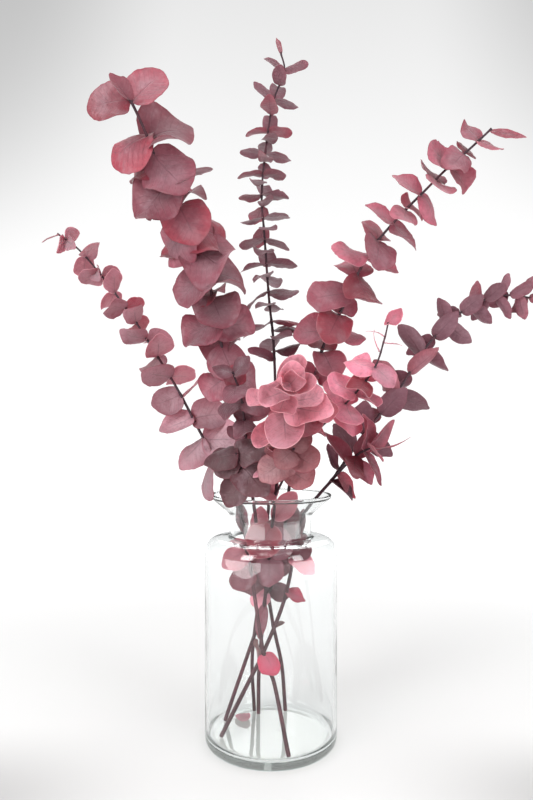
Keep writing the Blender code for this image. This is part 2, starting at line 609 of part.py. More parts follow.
def keep_largest(mesh):
    """Drops the loose scraps, and fills the sealed hollows, that joining the leaves can leave."""
    form = bmesh.new()
    form.from_mesh(mesh)
    left, pieces = set(form.verts), []
    while left:
        piece, edge = set(), {left.pop()}
        while edge:
            vert = edge.pop()
            piece.add(vert)
            near = {e.other_vert(vert) for e in vert.link_edges} - piece - edge
            edge |= near
        left -= piece
        pieces.append(piece)
    largest = max(pieces, key=len)
    scraps = [v for piece in pieces if piece is not largest for v in piece]
    bmesh.ops.delete(form, geom=scraps, context="VERTS")
    bmesh.ops.dissolve_limit(form, angle_limit=FLAT, verts=form.verts, edges=form.edges)
    bmesh.ops.triangulate(form, faces=form.faces)
    form.to_mesh(mesh)
    form.free()


def make_stem(name, leaves, collection, material):
    """One leafy stem: its shoots and leaves joined into one body."""
    loose = bpy.data.collections.new(name + "_pieces")
    bpy.context.scene.collection.children.link(loose)
    stem = tube(name, STEMS[name][0], collection)
    for number, shoot in enumerate(STEMS[name][1:]):
        tube(f"{name}_shoot_{number}", shoot, loose)
    for number, leaf in enumerate(leaves):
        blade(f"{name}_leaf_{number}", leaf, loose)
    join = stem.modifiers.new("join", "BOOLEAN")
    join.operation = "UNION"
    join.operand_type = "COLLECTION"
    join.collection = loose
    bpy.context.view_layer.update()
    mesh = bpy.data.meshes.new_from_object(stem.evaluated_get(bpy.context.evaluated_depsgraph_get()))
    stem.modifiers.clear()
    keep_largest(mesh)
    stem.data = mesh
    mesh.materials.clear()
    mesh.materials.append(material)
    for piece in list(loose.objects):
        bpy.data.objects.remove(piece)
    bpy.data.collections.remove(loose)
    return stem


def make_fallen_leaf(collection):
    way = math.radians(FALLEN_WAY)
    leaf = dict(FALLEN, length=FALLEN_LENGTH, root=Vector((*FALLEN_BASE, 0.0)), upper=Vector((0, 0, 1)))
    leaf["out"] = Vector((math.cos(way), math.sin(way), 0.0))
    leaf["side"] = leaf["upper"].cross(leaf["out"])
    points, faces = thickened(*plain_mesh(leaf), LEAF_THICK)
    leaf["root"].z = JAR_FLOOR + SEAT_GAP - min(p.z for p in points)
    fallen = blade("fallen_leaf", leaf, collection)
    fallen.data.materials.append(finish("fallen_leaf", COLOURS["fallen_leaf"], LEAF_ROUGH))
    return fallen


for old in list(bpy.data.objects):
    bpy.data.objects.remove(old)
model = bpy.data.collections.new("eucalyptus_in_jar")
bpy.context.scene.collection.children.link(model)
make_jar(model)
make_fallen_leaf(model)
for stem_name, stem_leaves in grown_leaves().items():
    make_stem(stem_name, stem_leaves, model, finish(stem_name + "_leaf", COLOURS[stem_name], LEAF_ROUGH))
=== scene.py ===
"""Six cut branches of dyed eucalyptus standing in a clear glass jar, with one leaf dropped on its floor.

Lengths are millimetres, and each mesh is scaled to metres as it is made. The finishes and the studio are in
metres. +Z is up, and the viewer looks along +Y.
"""

import math
import random

import bpy
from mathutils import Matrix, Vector, noise
from mathutils.bvhtree import BVHTree


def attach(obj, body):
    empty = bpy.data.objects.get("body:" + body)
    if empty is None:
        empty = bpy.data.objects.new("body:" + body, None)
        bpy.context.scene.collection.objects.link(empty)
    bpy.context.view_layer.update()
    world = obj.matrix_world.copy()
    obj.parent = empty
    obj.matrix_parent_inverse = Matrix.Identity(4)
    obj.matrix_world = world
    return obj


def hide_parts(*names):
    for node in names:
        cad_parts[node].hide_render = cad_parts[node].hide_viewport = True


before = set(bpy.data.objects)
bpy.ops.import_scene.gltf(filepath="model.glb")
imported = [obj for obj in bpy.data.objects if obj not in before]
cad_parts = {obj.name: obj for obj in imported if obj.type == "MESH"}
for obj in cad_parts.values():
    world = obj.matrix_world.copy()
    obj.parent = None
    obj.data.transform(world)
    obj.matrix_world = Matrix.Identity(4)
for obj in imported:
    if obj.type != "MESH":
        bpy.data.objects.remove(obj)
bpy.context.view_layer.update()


# The jar. One piece of clear blown glass, faintly green where it is thick. Its wall is turned from one
# outline: a heavy floor, a straight side, a rounded shoulder, a short neck, and a flared collar with a lip
# that was melted round.
MM = 0.001
JAR_RADIUS = 70.0
JAR_HEIGHT = 260.0
JAR_WALL = 3.0
JAR_FLOOR = 6.5
SHOULDER_LOW = 198.0
NECK_RADIUS = 43.0
NECK_LOW = 216.0
NECK_HIGH = 241.0
RIM_RADIUS = 64.5
JAR_STEPS = 96
BEND_STEPS = 7
WELD = 0.02
# The corners of the wall as (radius, height, reach of the bend that rounds it)
OUTER_CORNERS = [
    (RIM_RADIUS, JAR_HEIGHT, 1.5),
    (RIM_RADIUS - 0.6, JAR_HEIGHT - 3.6, 1.4),
    (NECK_RADIUS, 238.5, 6.0),
    (NECK_RADIUS, 215.2, 3.0),
    (JAR_RADIUS, 214.2, 16.2),
    (JAR_RADIUS, 0.0, 7.0),
    (0.0, 0.0, 0.0),
]
INNER_CORNERS = [
    (0.0, JAR_FLOOR, 0.0),
    (JAR_RADIUS - JAR_WALL, JAR_FLOOR, 11.0),
    (JAR_RADIUS - JAR_WALL, 211.0, 13.0),
    (NECK_RADIUS - JAR_WALL, 212.2, 3.0),
    (NECK_RADIUS - JAR_WALL, 240.0, 6.0),
    (RIM_RADIUS - 3.3, JAR_HEIGHT - 2.0, 1.4),
    (RIM_RADIUS - 2.9, JAR_HEIGHT, 1.2),
]
GLASS_BODY = (0.994, 1.0, 0.999, 1.0)
GLASS_SHADE = (0.958, 0.964, 0.960, 1.0)
GLASS_IOR = 1.46
GLASS_TINT = (0.50, 0.82, 0.86)
GLASS_DEPTH = 5.5
GLASS_SHINE = 0.4
# The faint unevenness of the glass. Noise is given as its lumps to a metre, its detail and its roughness
SWIRLS = (22.0, 1.0, 0.5)
SWIRL_BUMP = dict(Strength=0.12, Distance=0.002)


class Link:
    """One output of a node. It takes part in sums, and each operator adds the Math node that works it out."""

    def __init__(self, nodes, socket):
        self.nodes = nodes
        self.socket = socket

    def out(self, name):
        """Another output of the same node."""
        return Link(self.nodes, self.socket.node.outputs[name])

    def math(self, operation, *values):
        """The result of a Math node on some values."""
        return self.nodes.add("ShaderNodeMath", dict(operation=operation), dict(enumerate(values)))

    def __add__(self, other):
        return self.math("ADD", self, other)

    __radd__ = __add__

    def __sub__(self, other):
        return self.math("SUBTRACT", self, other)

    def __rsub__(self, other):
        return self.math("SUBTRACT", other, self)

    def __mul__(self, other):
        return self.math("MULTIPLY", self, other)

    __rmul__ = __mul__

    def __abs__(self):
        return self.math("ABSOLUTE", self)

    def rise(self, low, high):
        """0 below the low value and 1 above the high one, with a soft step between."""
        sockets = {"Value": self, "From Min": low, "From Max": high}
        return self.nodes.add("ShaderNodeMapRange", dict(interpolation_type="SMOOTHSTEP"), sockets)


class Nodes:
    """The nodes of a material, or of the world."""

    def __init__(self, owner):
        owner.use_nodes = True
        self.tree = owner.node_tree
        self.tree.nodes.clear()

    def add(self, kind, settings=None, sockets=None, output=0):
        """A new node: its settings, then the values or links of its sockets. Gives one of its outputs."""
        node = self.tree.nodes.new(kind)
        for name, value in (settings or {}).items():
            setattr(node, name, value)
        for name, value in (sockets or {}).items():
            if isinstance(value, Link):
                self.tree.links.new(value.socket, node.inputs[name])
            else:
                node.inputs[name].default_value = value
        return Link(self, node.outputs[output]) if node.outputs else None

    def blend(self, share, first, second):
        """One colour laid over another by a share from 0 to 1."""
        first, second = [(*c, 1.0) if isinstance(c, tuple) else c for c in (first, second)]
        settings = dict(data_type="RGBA", clamp_factor=True)
        return self.add("ShaderNodeMix", settings, {0: share, 6: first, 7: second}, output=2)

    def cloud(self, place, scale, detail, roughness):
        """Soft noise from about 0.2 to 0.8, with its lumps 1 / scale metres apart."""
        sockets = {"Vector": place, "Scale": scale, "Detail": detail, "Roughness": roughness}
        return self.add("ShaderNodeTexNoise", {}, sockets)


def placed(name, data):
    """A new object in the scene."""
    thing = bpy.data.objects.new(name, data)
    bpy.context.scene.collection.objects.link(thing)
    return thing


def rounded(corners):
    """A closed outline through the corners, each rounded off by a bend that reaches along both its sides."""
    line = []
    for before, corner, after in zip(corners[-1:] + corners[:-1], corners, corners[1:] + corners[:1]):
        at = Vector(corner[:2])
        start = at + (Vector(before[:2]) - at).normalized() * corner[2]
        end = at + (Vector(after[:2]) - at).normalized() * corner[2]
        for i in range(BEND_STEPS + 1 if corner[2] else 1):
            t = i / BEND_STEPS
            line.append(start.lerp(at, t).lerp(at.lerp(end, t), t))
    return line


def glass_finish():
    """Clear glass that lets the lamps' light through, so that what stands in it isn't left in the dark."""
    material = bpy.data.materials.new("clear_glass")
    nodes = Nodes(material)
    place = nodes.add("ShaderNodeTexCoord", output="Object")
    uneven = nodes.add("ShaderNodeBump", {}, SWIRL_BUMP | {"Height": nodes.cloud(place, *SWIRLS)})
    body = {"Base Color": GLASS_BODY, "Roughness": 0.0, "IOR": GLASS_IOR, "Transmission Weight": 1.0}
    body |= {"Specular IOR Level": GLASS_SHINE, "Normal": uneven}
    clear = nodes.add("ShaderNodeBsdfPrincipled", {}, body)
    lit = nodes.add("ShaderNodeBsdfTransparent", {}, {"Color": GLASS_SHADE})
    rays = nodes.add("ShaderNodeLightPath", output="Is Shadow Ray")
    straight = rays.math("MAXIMUM", rays, rays.out("Is Diffuse Ray"))
    surface = nodes.add("ShaderNodeMixShader", {}, {0: straight, 1: clear, 2: lit})
    tint = nodes.add("ShaderNodeVolumeAbsorption", {}, {"Color": (*GLASS_TINT, 1.0), "Density": GLASS_DEPTH})
    nodes.add("ShaderNodeOutputMaterial", {}, {"Surface": surface, "Volume": tint})
    return material


outline = [(r * MM, 0.0, z * MM) for r, z in rounded(OUTER_CORNERS + INNER_CORNERS)]
wall = bpy.data.meshes.new("jar_wall")
on_axis = [i for i, point in enumerate(outline) if point[0] == 0]
sides = zip(range(len(outline)), [*range(1, len(outline)), 0])
wall.from_pydata(outline, [side for side in sides if list(side) != on_axis], [])
jar = placed("glass_jar", wall)
turning = jar.modifiers.new("turned", "SCREW")
turning.steps = turning.render_steps = JAR_STEPS
turning.use_merge_vertices = True
turning.merge_threshold = WELD * MM
turning.use_normal_calculate = True
jar.data.materials.append(glass_finish())
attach(jar, "root")
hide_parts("jar")


# How the branches grew. Each is one cut stem with its side shoots, and its leaves stand in opposite pairs,
# each pair a quarter turn from the last. The same rule and the same draws place them as in the solids.
LIGHT = Vector((0.0, -1.0, 0.2)).normalized()
QUARTER = 90
PAIR_STAGGER = 0.8
SPREAD_RISE = 3
YOUNG_REACH = 22.0
ROOT_OFFSET = 0.35
TIP_OVERLAP = 2.5
STRAIGHT = 1e-4
# A leaf is tested as a plain blade. It has fewer sides if it is small, and is kept off other stems' leaves
# and wood and off the glass
LEAF_THICK = 0.7
SIDES = 7
FEW_SIDES = 6
SMALL_LEAF = 34.0
CLEAR = 1.1
STEM_CLEAR = 1.0
GLASS_CLEAR = 2.0
NEAR = 4.0
ROUTE_STEP = 26.0
FINE_STEP = 2.0
# How a leaf that would touch something is bent clear: a swing round its stem, a lift and a smaller size
BENDS = [(0, 0, 1), (14, 0, 1), (-14, 0, 1), (0, -16, 1), (0, 16, 1), (28, 0, 0.95), (-28, 0, 0.95)]
BENDS += [(0, -34, 0.9), (0, 34, 0.9), (40, -18, 0.85), (-40, -18, 0.85), (30, 24, 0.8), (-30, 24, 0.8)]
BENDS += [(0, 0, 0.7), (50, -35, 0.7), (-50, -35, 0.7), (0, -50, 0.6), (40, 0, 0.5), (-40, 0, 0.5)]
# The margin's waves as (how many go round the leaf, how their start differs, share of the whole), and how
# much more one side curls than the other
RIPPLES = [(2, 1.0, 0.55), (3, 1.7, 0.65)]
UNEVEN = 1.6
# A leaf's outline, in radians round from its tip: how wide the tip and each lobe of the base are, and where
# the lobe lies
TIP_WIDE = 0.30
LOBE_WIDE = 0.40
LOBE_AT = 2.35
# What each leaf's draws range over: degrees round the stem and away from it, then shares of its kind's values
SWING_DRAW = (-12, 12)
LEAN_DRAW = (-10, 10)
LENGTH_DRAW = (0.9, 1.1)
WIDE_DRAW = (0.9, 1.08)
WAVE_DRAW = (0.2, 1.0)
TWIST_DRAW = (-0.35, 0.35)
# Each kind of leaf: width over length, the drawn-out tip, the heart-shaped base, the angles that it curls
# through from side to side and from base to tip, how far its margin waves, and how far it reaches back past
# the wood
DISC = dict(wide=1.12, tip=0.05, heart=0.14, roll=(-65, 50), droop=(-10, 65), wave=0.29, behind=0.13)
COIN = dict(wide=1.08, tip=0.04, heart=0.08, roll=(-12, 25), droop=(-8, 18), wave=0.06, behind=0.0)
ROUND = dict(wide=1.0, tip=0.12, heart=0.10, roll=(-32, 48), droop=(-25, 42), wave=0.13, behind=0.05)
OVAL = dict(wide=0.70, tip=0.10, heart=0.04, roll=(-30, 40), droop=(-15, 40), wave=0.08, behind=0.0)
POINTED = dict(wide=0.68, tip=0.24, heart=0.06, roll=(0, 75), droop=(-25, 40), wave=0.08, behind=0.0)
HEART = dict(wide=0.92, tip=0.22, heart=0.16, roll=(-60, 50), droop=(-10, 60), wave=0.17, behind=0.05)
PETAL = dict(wide=1.0, tip=0.06, heart=0.05, roll=(30, 100), droop=(-60, 10), wave=0.21, behind=0.0)
FOLDED = dict(wide=0.75, tip=0.35, heart=0.0, roll=(75, 95), droop=(-20, 0), wave=0.05, behind=0.0)
NARROW = dict(wide=0.42, tip=0.2, heart=0.0, roll=(0, 50), droop=(-10, 20), wave=0.05, behind=0.0)
DRAPED = dict(wide=0.75, tip=0.15, heart=0.05, roll=(-20, 0), droop=(80, 100), wave=0.04, behind=0.0)
SLIM = dict(wide=0.30, tip=0.30, heart=0.0, roll=(0, 60), droop=(-30, 50), wave=0.05, behind=0.0)
THREAD = dict(wide=0.16, tip=0.10, heart=0.0, roll=(0, 20), droop=(-30, 60), wave=0.02, behind=0.0)
# Each shoot: its route from root to tip, its radius at each end, and its pairs of leaves by their distance
# back from the tip. Leaf lengths run from tip to root. A single leaf is (distance back, or up from the cut
# end where it is below 0, angle round the shoot, angle to the shoot, length, kind, share by which it faces
# the light).
STEMS = {
    "stem_front": [dict(
        route=[(-14, 42, 8), (-13, 30, 63), (-7, 4, 140), (1, -22, 228), (5, -42, 268), (8, -64, 306),
               (11, -92, 342), (13, -112, 360), (14, -134, 366)],
        girth=(2.2, 1.3), seed=1105, dye="rose", kind=PETAL, turn=34, phase=205, spread=(50, 96), facing=0.0,
        pairs=[2, 6, 12, 20, 31, 46, 66, 84],
        sizes=(19, 30, 35, 38, 38, 36, 32),
        single=[(36, 350, 84, 40, PETAL, 0.6), (58, 20, 80, 40, ROUND, 0.5),
                (104, 200, 90, 32, ROUND, 0.4), (146, 185, 70, 40, HEART, 0.0),
                (-140, 250, 165, 36, NARROW, 0.8),
                (-232, 200, 150, 34, ROUND, 0.85), (-226, 330, 150, 32, ROUND, 0.85),
                (-196, 215, 155, 34, ROUND, 0.85),
                (-206, 250, 14, 36, OVAL, 0.9), (-240, 300, 20, 34, OVAL, 0.9)],
    ), dict(
        route=[(9, -62, 300), (22, -68, 324), (32, -82, 342), (38, -94, 350)],
        girth=(1.3, 1.0), seed=1201, dye="shell", kind=ROUND, turn=14, phase=20, spread=(70, 95), facing=0.2,
        pairs=[0, 9, 24],
        sizes=(27, 32, 30),
        single=[],
    ), dict(
        route=[(4, -37, 262), (12, -62, 282), (19, -84, 304), (20, -98, 311)],
        girth=(1.3, 1.0), seed=1309, dye="clay", kind=ROUND, turn=14, phase=60, spread=(60, 95), facing=0.2,
        pairs=[0, 8, 19, 33],
        sizes=(24, 31, 34, 34),
        single=[],
    ), dict(
        route=[(3, -34, 256), (-14, -50, 274), (-30, -62, 296), (-34, -66, 306)],
        girth=(1.3, 1.0), seed=14, dye="umber", kind=HEART, turn=14, phase=10, spread=(60, 90), facing=0.6,
        pairs=[0, 12, 27],
        sizes=(32, 40, 40),
        single=[],
    )],
    "stem_broad": [dict(
        route=[(17, 50, 8), (13, 44, 59), (6, 34, 95), (1, 26, 122), (-14, -10, 225), (-24, -26, 290),
               (-36, -42, 350), (-48, -64, 410), (-58, -84, 465), (-68, -98, 493), (-77, -112, 515),
               (-87, -126, 536), (-97, -142, 555), (-105, -158, 575), (-114, -172, 593)],
        girth=(2.2, 1.1), seed=2110, dye="crimson", kind=DISC, turn=22, phase=200,
        spread=(80, 110), facing=0.58,
        pairs=[32, 52, 72, 92, 113, 134, 156, 179, 203, 229, 257],
        sizes=(40, 45, 46, 46, 45, 43, 38),
        single=[(2, 180, 64, 34, COIN, 0.95), (5, 0, 66, 33, COIN, 0.8), (4, 260, 34, 25, FOLDED, 0.0),
                (300, 0, 80, 34, ROUND, 0.3), (-178, 200, 95, 40, HEART, 0.75),
                (-150, 180, 120, 24, ROUND, 0.7), (-106, 0, 70, 13, OVAL, 0.3),
                (-210, 190, 140, 32, ROUND, 0.85), (-218, 180, 15, 36, OVAL, 0.9)],
    ), dict(
        route=[(-22, -24, 284), (-25, -52, 318), (-28, -76, 356), (-36, -88, 382)],
        girth=(1.3, 1.0), seed=2209, dye="plum", kind=ROUND, turn=14, phase=180, spread=(60, 95), facing=0.3,
        pairs=[0, 14, 32, 50, 70, 90],
        sizes=(22, 27, 26, 24, 24),
        single=[],
    )],
    "stem_right": [dict(
        route=[(-51, 24, 8), (-22, 22, 91), (2, 25, 160), (15, 10, 225), (22, 0, 286), (34, -8, 338),
               (46, -16, 385), (56, -22, 420), (74, -34, 455), (84, -42, 479), (101, -52, 509),
               (125, -62, 536), (145, -70, 555), (165, -78, 574), (185, -86, 590), (202, -92, 605)],
        girth=(2.2, 1.0), seed=31, dye="dusk", kind=ROUND, turn=24, phase=20, spread=(75, 92), facing=0.5,
        pairs=[14, 30, 47, 64, 82, 100, 119, 138, 158, 178, 198, 218, 238, 260, 283],
        sizes=(22, 31, 33, 36, 40, 39, 33),
        single=[(0, 0, 50, 30, NARROW, 0.8), (-152, 0, 115, 23, ROUND, 0.7),
                (-214, 20, 130, 28, HEART, 0.7), (-190, 350, 140, 25, ROUND, 0.6),
                (-216, 20, 14, 36, OVAL, 0.9)],
    ), dict(
        route=[(28, -3, 310), (54, -30, 334), (80, -50, 361), (100, -60, 388), (109, -62, 415),
               (113, -62, 432)],
        girth=(1.2, 0.8), seed=32, dye="coral", kind=ROUND, turn=18, phase=20, spread=(55, 90), facing=0.45,
        pairs=[46, 60, 76, 92, 108],
        sizes=(18, 22, 30, 33, 32),
        single=[(0, 300, 20, 22, ROUND, 0.6), (14, 150, 60, 20, THREAD, 0.0),
                (20, 20, 70, 18, THREAD, 0.0), (30, 160, 55, 22, THREAD, 0.0)],
    )],
    "stem_left": [dict(
        route=[(17, -54, 8), (3, -36, 73), (-7, -30, 97), (-24, -12, 200), (-32, -8, 238),
               (-52, -6, 283), (-71, -4, 318), (-99, 2, 370), (-128, 10, 416), (-154, 18, 455),
               (-187, 26, 498), (-213, 30, 528), (-238, 32, 547)],
        girth=(2.2, 0.9), seed=4104, dye="blush", kind=ROUND, turn=26, phase=30,
        spread=(95, 85), facing=-0.2,
        pairs=[9, 42, 70, 94, 116, 138, 160, 184, 210],
        sizes=(21, 23, 24, 26, 28, 31, 36),
        single=[(0, 180, 60, 19, OVAL, 0.3), (14, 270, 110, 27, POINTED, 0.0),
                (64, 270, 110, 28, POINTED, 0.0), (316, 200, 95, 44, DRAPED, 0.0),
                (234, 180, 80, 36, ROUND, 0.8), (238, 0, 70, 32, POINTED, 0.3),
                (262, 350, 110, 42, HEART, 0.85), (262, 170, 100, 38, ROUND, 0.7),
                (288, 0, 120, 42, ROUND, 0.8), (290, 180, 110, 38, HEART, 0.6),
                (308, 90, 80, 34, ROUND, 0.4), (312, 0, 60, 36, HEART, 0.5),
                (-99, 320, 115, 25, ROUND, 0.3), (-207, 190, 125, 30, ROUND, 0.85),
                (-232, 190, 150, 32, ROUND, 0.85), (-184, 200, 130, 24, ROUND, 0.8),
                (-222, 190, 12, 30, NARROW, 0.9)],
    )],
    "stem_outer": [dict(
        route=[(-52, -12, 8), (-19, -15, 74), (-9, -15, 94), (14, -9, 150), (30, -3, 222), (36, 0, 240),
               (54, 1, 262), (69, 4, 279), (97, 12, 318), (121, 18, 347), (147, 24, 381),
               (168, 28, 414), (190, 32, 439), (214, 34, 460), (243, 36, 475), (264, 36, 479),
               (281, 36, 478), (292, 36, 476)],
        girth=(2.3, 1.0), seed=5102, dye="wine", kind=POINTED, turn=20, phase=90,
        spread=(62, 66), facing=-0.5,
        pairs=[0, 13, 24, 38, 52, 68, 84, 104, 126, 150, 176, 204, 232, 262],
        sizes=(25, 27, 29, 31, 34, 38, 37, 34),
        single=[(-90, 180, 40, 23, ROUND, 0.3),
                (-165, 0, 110, 22, HEART, 0.4), (-206, 350, 125, 26, HEART, 0.6),
                (-226, 330, 150, 26, ROUND, 0.7), (-224, 340, 14, 30, NARROW, 0.9),
                (-294, 330, 70, 28, POINTED, 0.5), (-306, 160, 80, 30, POINTED, 0.3),
                (-322, 20, 75, 32, POINTED, -0.3), (-336, 200, 75, 34, POINTED, -0.4)],
    ), dict(
        route=[(68, 3, 277), (78, -18, 292), (89, -32, 304), (102, -40, 311)],
        girth=(1.3, 1.0), seed=52, dye="berry", kind=POINTED, turn=20, phase=90, spread=(55, 75), facing=0.2,
        pairs=[0, 10, 22, 34],
        sizes=(32, 36, 34),
        single=[(2, 350, 20, 36, SLIM, 0.0), (56, 0, 150, 30, POINTED, 0.4)],
    )],
    "stem_upright": [dict(
        route=[(-19, 50, 8), (-21, 43, 72), (-12, 34, 150), (-4, 27, 228), (2, 26, 300), (5, 26, 361),
               (3, 26, 425), (-2, 26, 474), (-7, 26, 543), (-10, 26, 589), (-5, 26, 643), (3, 26, 692),
               (15, 26, 724), (11, 26, 746)],
        girth=(2.2, 0.9), seed=61, dye="mauve", kind=OVAL, turn=26, phase=0, spread=(65, 98), facing=-0.08,
        pairs=[22, 38, 54, 72, 90, 102, 114, 126, 138, 150, 162, 174, 186, 198, 211, 224, 238, 252, 268,
               284, 302, 322],
        sizes=(24, 27, 27, 26, 29, 31, 33, 33),
        single=[(2, 100, 8, 26, SLIM, 0.0), (-192, 170, 110, 26, OVAL, 0.2),
                (-214, 180, 140, 28, ROUND, 0.8),
                (312, 0, 80, 29, OVAL, 0.4), (336, 10, 80, 30, OVAL, 0.4),
                (344, 180, 85, 28, OVAL, 0.4)],
    )],
}


def lerp(low, high, share):
    """The value a share of the way from one to another."""
    return low + (high - low) * share


def along(values, share):
    """The value a share of the way along a list of values."""
    place = min(max(share, 0.0), 1.0) * (len(values) - 1)
    first = min(int(place), len(values) - 2)
    return lerp(values[first], values[first + 1], place - first)


def smooth_route(points, step):
    """Points about a step apart on a smooth curve through the route's own points."""
    pts = [Vector(p) for p in points]
    pts = [2 * pts[0] - pts[1]] + pts + [2 * pts[-1] - pts[-2]]
    route = []
    for a, b, c, d in zip(pts, pts[1:], pts[2:], pts[3:]):
        steps = max(1, round((c - b).length / step))
        for i in range(steps):
            t = i / steps
            route.append(0.5 * (2 * b + (c - a) * t + (2 * a - 5 * b + 4 * c - d) * t * t
                                + (3 * b - a - 3 * c + d) * t ** 3))
    return route + [pts[-2]]


def place_on(route, back):
    """The point a distance back from the route's tip, and the way the shoot grows there."""
    for high, low in zip(route[::-1], route[-2::-1]):
        gap = (high - low).length
        if back <= gap:
            break
        back -= gap
    return high.lerp(low, min(back / gap, 1.0)), (high - low).normalized()


def length_of(route):
    """How long a route is."""
    return sum((b - a).length for a, b in zip(route, route[1:]))


def bent(distance, angle):
    """A length laid on an arc that turns through the angle: how far it gets, and how far it rises."""
    if abs(angle) < STRAIGHT:
        return distance, 0.0
    return distance * math.sin(angle) / angle, distance * (1 - math.cos(angle)) / angle


def margin(leaf, angle):
    """How far the leaf's edge is from its middle, as a share of its length, at an angle from the tip."""
    turn = abs((angle + math.pi) % math.tau - math.pi)
    pull = leaf["tip"] * math.exp(-((turn / TIP_WIDE) ** 2))
    pull += leaf["heart"] * math.exp(-(((turn - LOBE_AT) / LOBE_WIDE) ** 2))
    return 0.5 * (1 + pull)


def leaf_point(leaf, angle, reach):
    """A point of the leaf's middle surface, at an angle from its tip and a share of the way to its edge."""
    edge = margin(leaf, angle) * reach
    forward = (0.5 + edge * math.cos(angle)) * leaf["length"]
    aside = edge * math.sin(angle) * leaf["wide"] * leaf["length"]
    half = 0.5 * leaf["wide"] * leaf["length"]
    roll = leaf["roll"] * (1 + UNEVEN * leaf["twist"] * math.copysign(1, aside))
    across, rise = bent(aside, roll * aside / half)
    ripple = sum(share * math.sin(count * angle + start * leaf["ripple"]) for count, start, share in RIPPLES)
    rise += leaf["wave"] * leaf["length"] * ripple * reach ** 3
    rise += leaf["twist"] * across * forward / leaf["length"]
    bend = leaf["droop"] * forward / leaf["length"]
    run, fall = bent(forward, bend)
    upper = leaf["upper"] * math.cos(bend) + leaf["out"] * math.sin(bend)
    return leaf["root"] + leaf["out"] * run - leaf["upper"] * fall + leaf["side"] * across + upper * rise


def make_leaf(route, back, angle, spread, length, kind, facing, draw):
    """One leaf: its root on the stem, the way it points, and its shape. Every leaf takes the same draws."""
    leaf = dict(kind)
    root, grow = place_on(route, max(back, TIP_OVERLAP))
    right = Vector((0, 1, 0)).cross(grow).normalized()
    round_stem = math.radians(angle + draw.uniform(*SWING_DRAW))
    radial = right * math.cos(round_stem) + grow.cross(right) * math.sin(round_stem)
    lean = math.radians(spread + draw.uniform(*LEAN_DRAW))
    leaf["out"] = grow * math.cos(lean) + radial * math.sin(lean)
    leaf["upper"] = grow * math.sin(lean) - radial * math.cos(lean)
    leaf["upper"] = leaf["upper"].lerp(LIGHT * math.copysign(1, facing), abs(facing)).normalized()
    leaf["out"] = (leaf["out"] - leaf["upper"] * leaf["out"].dot(leaf["upper"])).normalized()
    leaf["side"] = leaf["upper"].cross(leaf["out"])
    leaf["length"] = length * draw.uniform(*LENGTH_DRAW)
    leaf["root"] = root + leaf["out"] * (ROOT_OFFSET - kind["behind"] * leaf["length"])
    leaf["wide"] = kind["wide"] * draw.uniform(*WIDE_DRAW)
    leaf["roll"] = math.radians(draw.uniform(*kind["roll"]))
    leaf["droop"] = math.radians(draw.uniform(*kind["droop"]))
    leaf["wave"] = kind["wave"] * draw.uniform(*WAVE_DRAW)
    leaf["ripple"] = draw.uniform(0, math.tau)
    leaf["twist"] = draw.uniform(*TWIST_DRAW)
    return leaf


def leaf_faces(sides, rings):
    """The triangles between rings of points round a leaf's middle."""
    faces = [(0, 1 + i, 1 + (i + 1) % sides) for i in range(sides)]
    for ring in range(rings - 1):
        first = 1 + ring * sides
        for i in range(sides):
            a, b = first + i, first + (i + 1) % sides
            faces += [(a, a + sides, b), (b, a + sides, b + sides)]
    return faces


def thickened(points, faces, thickness):
    """A surface made into a closed slab, as thick as is given at each point: upper side, then lower side."""
    normals = [Vector() for _ in points]
    for a, b, c in faces:
        face = (points[b] - points[a]).cross(points[c] - points[a])
        for i in (a, b, c):
            normals[i] += face
    lift = [n.normalized() * t / 2 for n, t in zip(normals, thickness)]
    count = len(points)
    slab = [p + n for p, n in zip(points, lift)] + [p - n for p, n in zip(points, lift)]
    edges = {(a, b) for f in faces for a, b in zip(f, f[1:] + f[:1])}
    skirt = []
    for a, b in sorted(edges - {(b, a) for a, b in edges}):
        skirt += [(a, a + count, b), (b, a + count, b + count)]
    return slab, faces + [(c + count, b + count, a + count) for a, b, c in faces] + skirt


def glass_inside(height):
    """The jar's inner radius at a height, and its outer one."""
    if height < SHOULDER_LOW:
        return JAR_RADIUS - JAR_WALL, JAR_RADIUS
    if height < NECK_LOW:
        share = (height - SHOULDER_LOW) / (NECK_LOW - SHOULDER_LOW)
        return JAR_RADIUS - JAR_WALL - (JAR_RADIUS - NECK_RADIUS) * share ** 2, JAR_RADIUS
    if height < NECK_HIGH:
        return NECK_RADIUS - JAR_WALL, NECK_RADIUS
    share = min((height - NECK_HIGH) / (JAR_HEIGHT - NECK_HIGH), 1.0)
    outer = lerp(NECK_RADIUS, RIM_RADIUS, share)
    return outer - JAR_WALL, outer


def meets_glass(points):
    """Whether a leaf with these points would touch the jar."""
    sides = set()
    for p in points:
        if p.z > JAR_HEIGHT + GLASS_CLEAR:
            continue
        inner, outer = glass_inside(p.z)
        radius = math.hypot(p.x, p.y)
        if radius < inner - GLASS_CLEAR and p.z > JAR_FLOOR + GLASS_CLEAR:
            sides.add("inside")
        elif radius > outer + GLASS_CLEAR:
            sides.add("outside")
        else:
            return True
    return len(sides) > 1


def meets_stem(tree, points, route, girths):
    """Whether a leaf comes near a shoot. Its box, a little enlarged, rules out most points at once."""
    low = Vector([min(p[i] for p in points) - NEAR for i in range(3)])
    high = Vector([max(p[i] for p in points) + NEAR for i in range(3)])
    for point, girth in zip(route, girths):
        if all(low[i] < point[i] < high[i] for i in range(3)):
            if tree.find_nearest(point, girth + LEAF_THICK / 2 + STEM_CLEAR)[0] is not None:
                return True
    return False


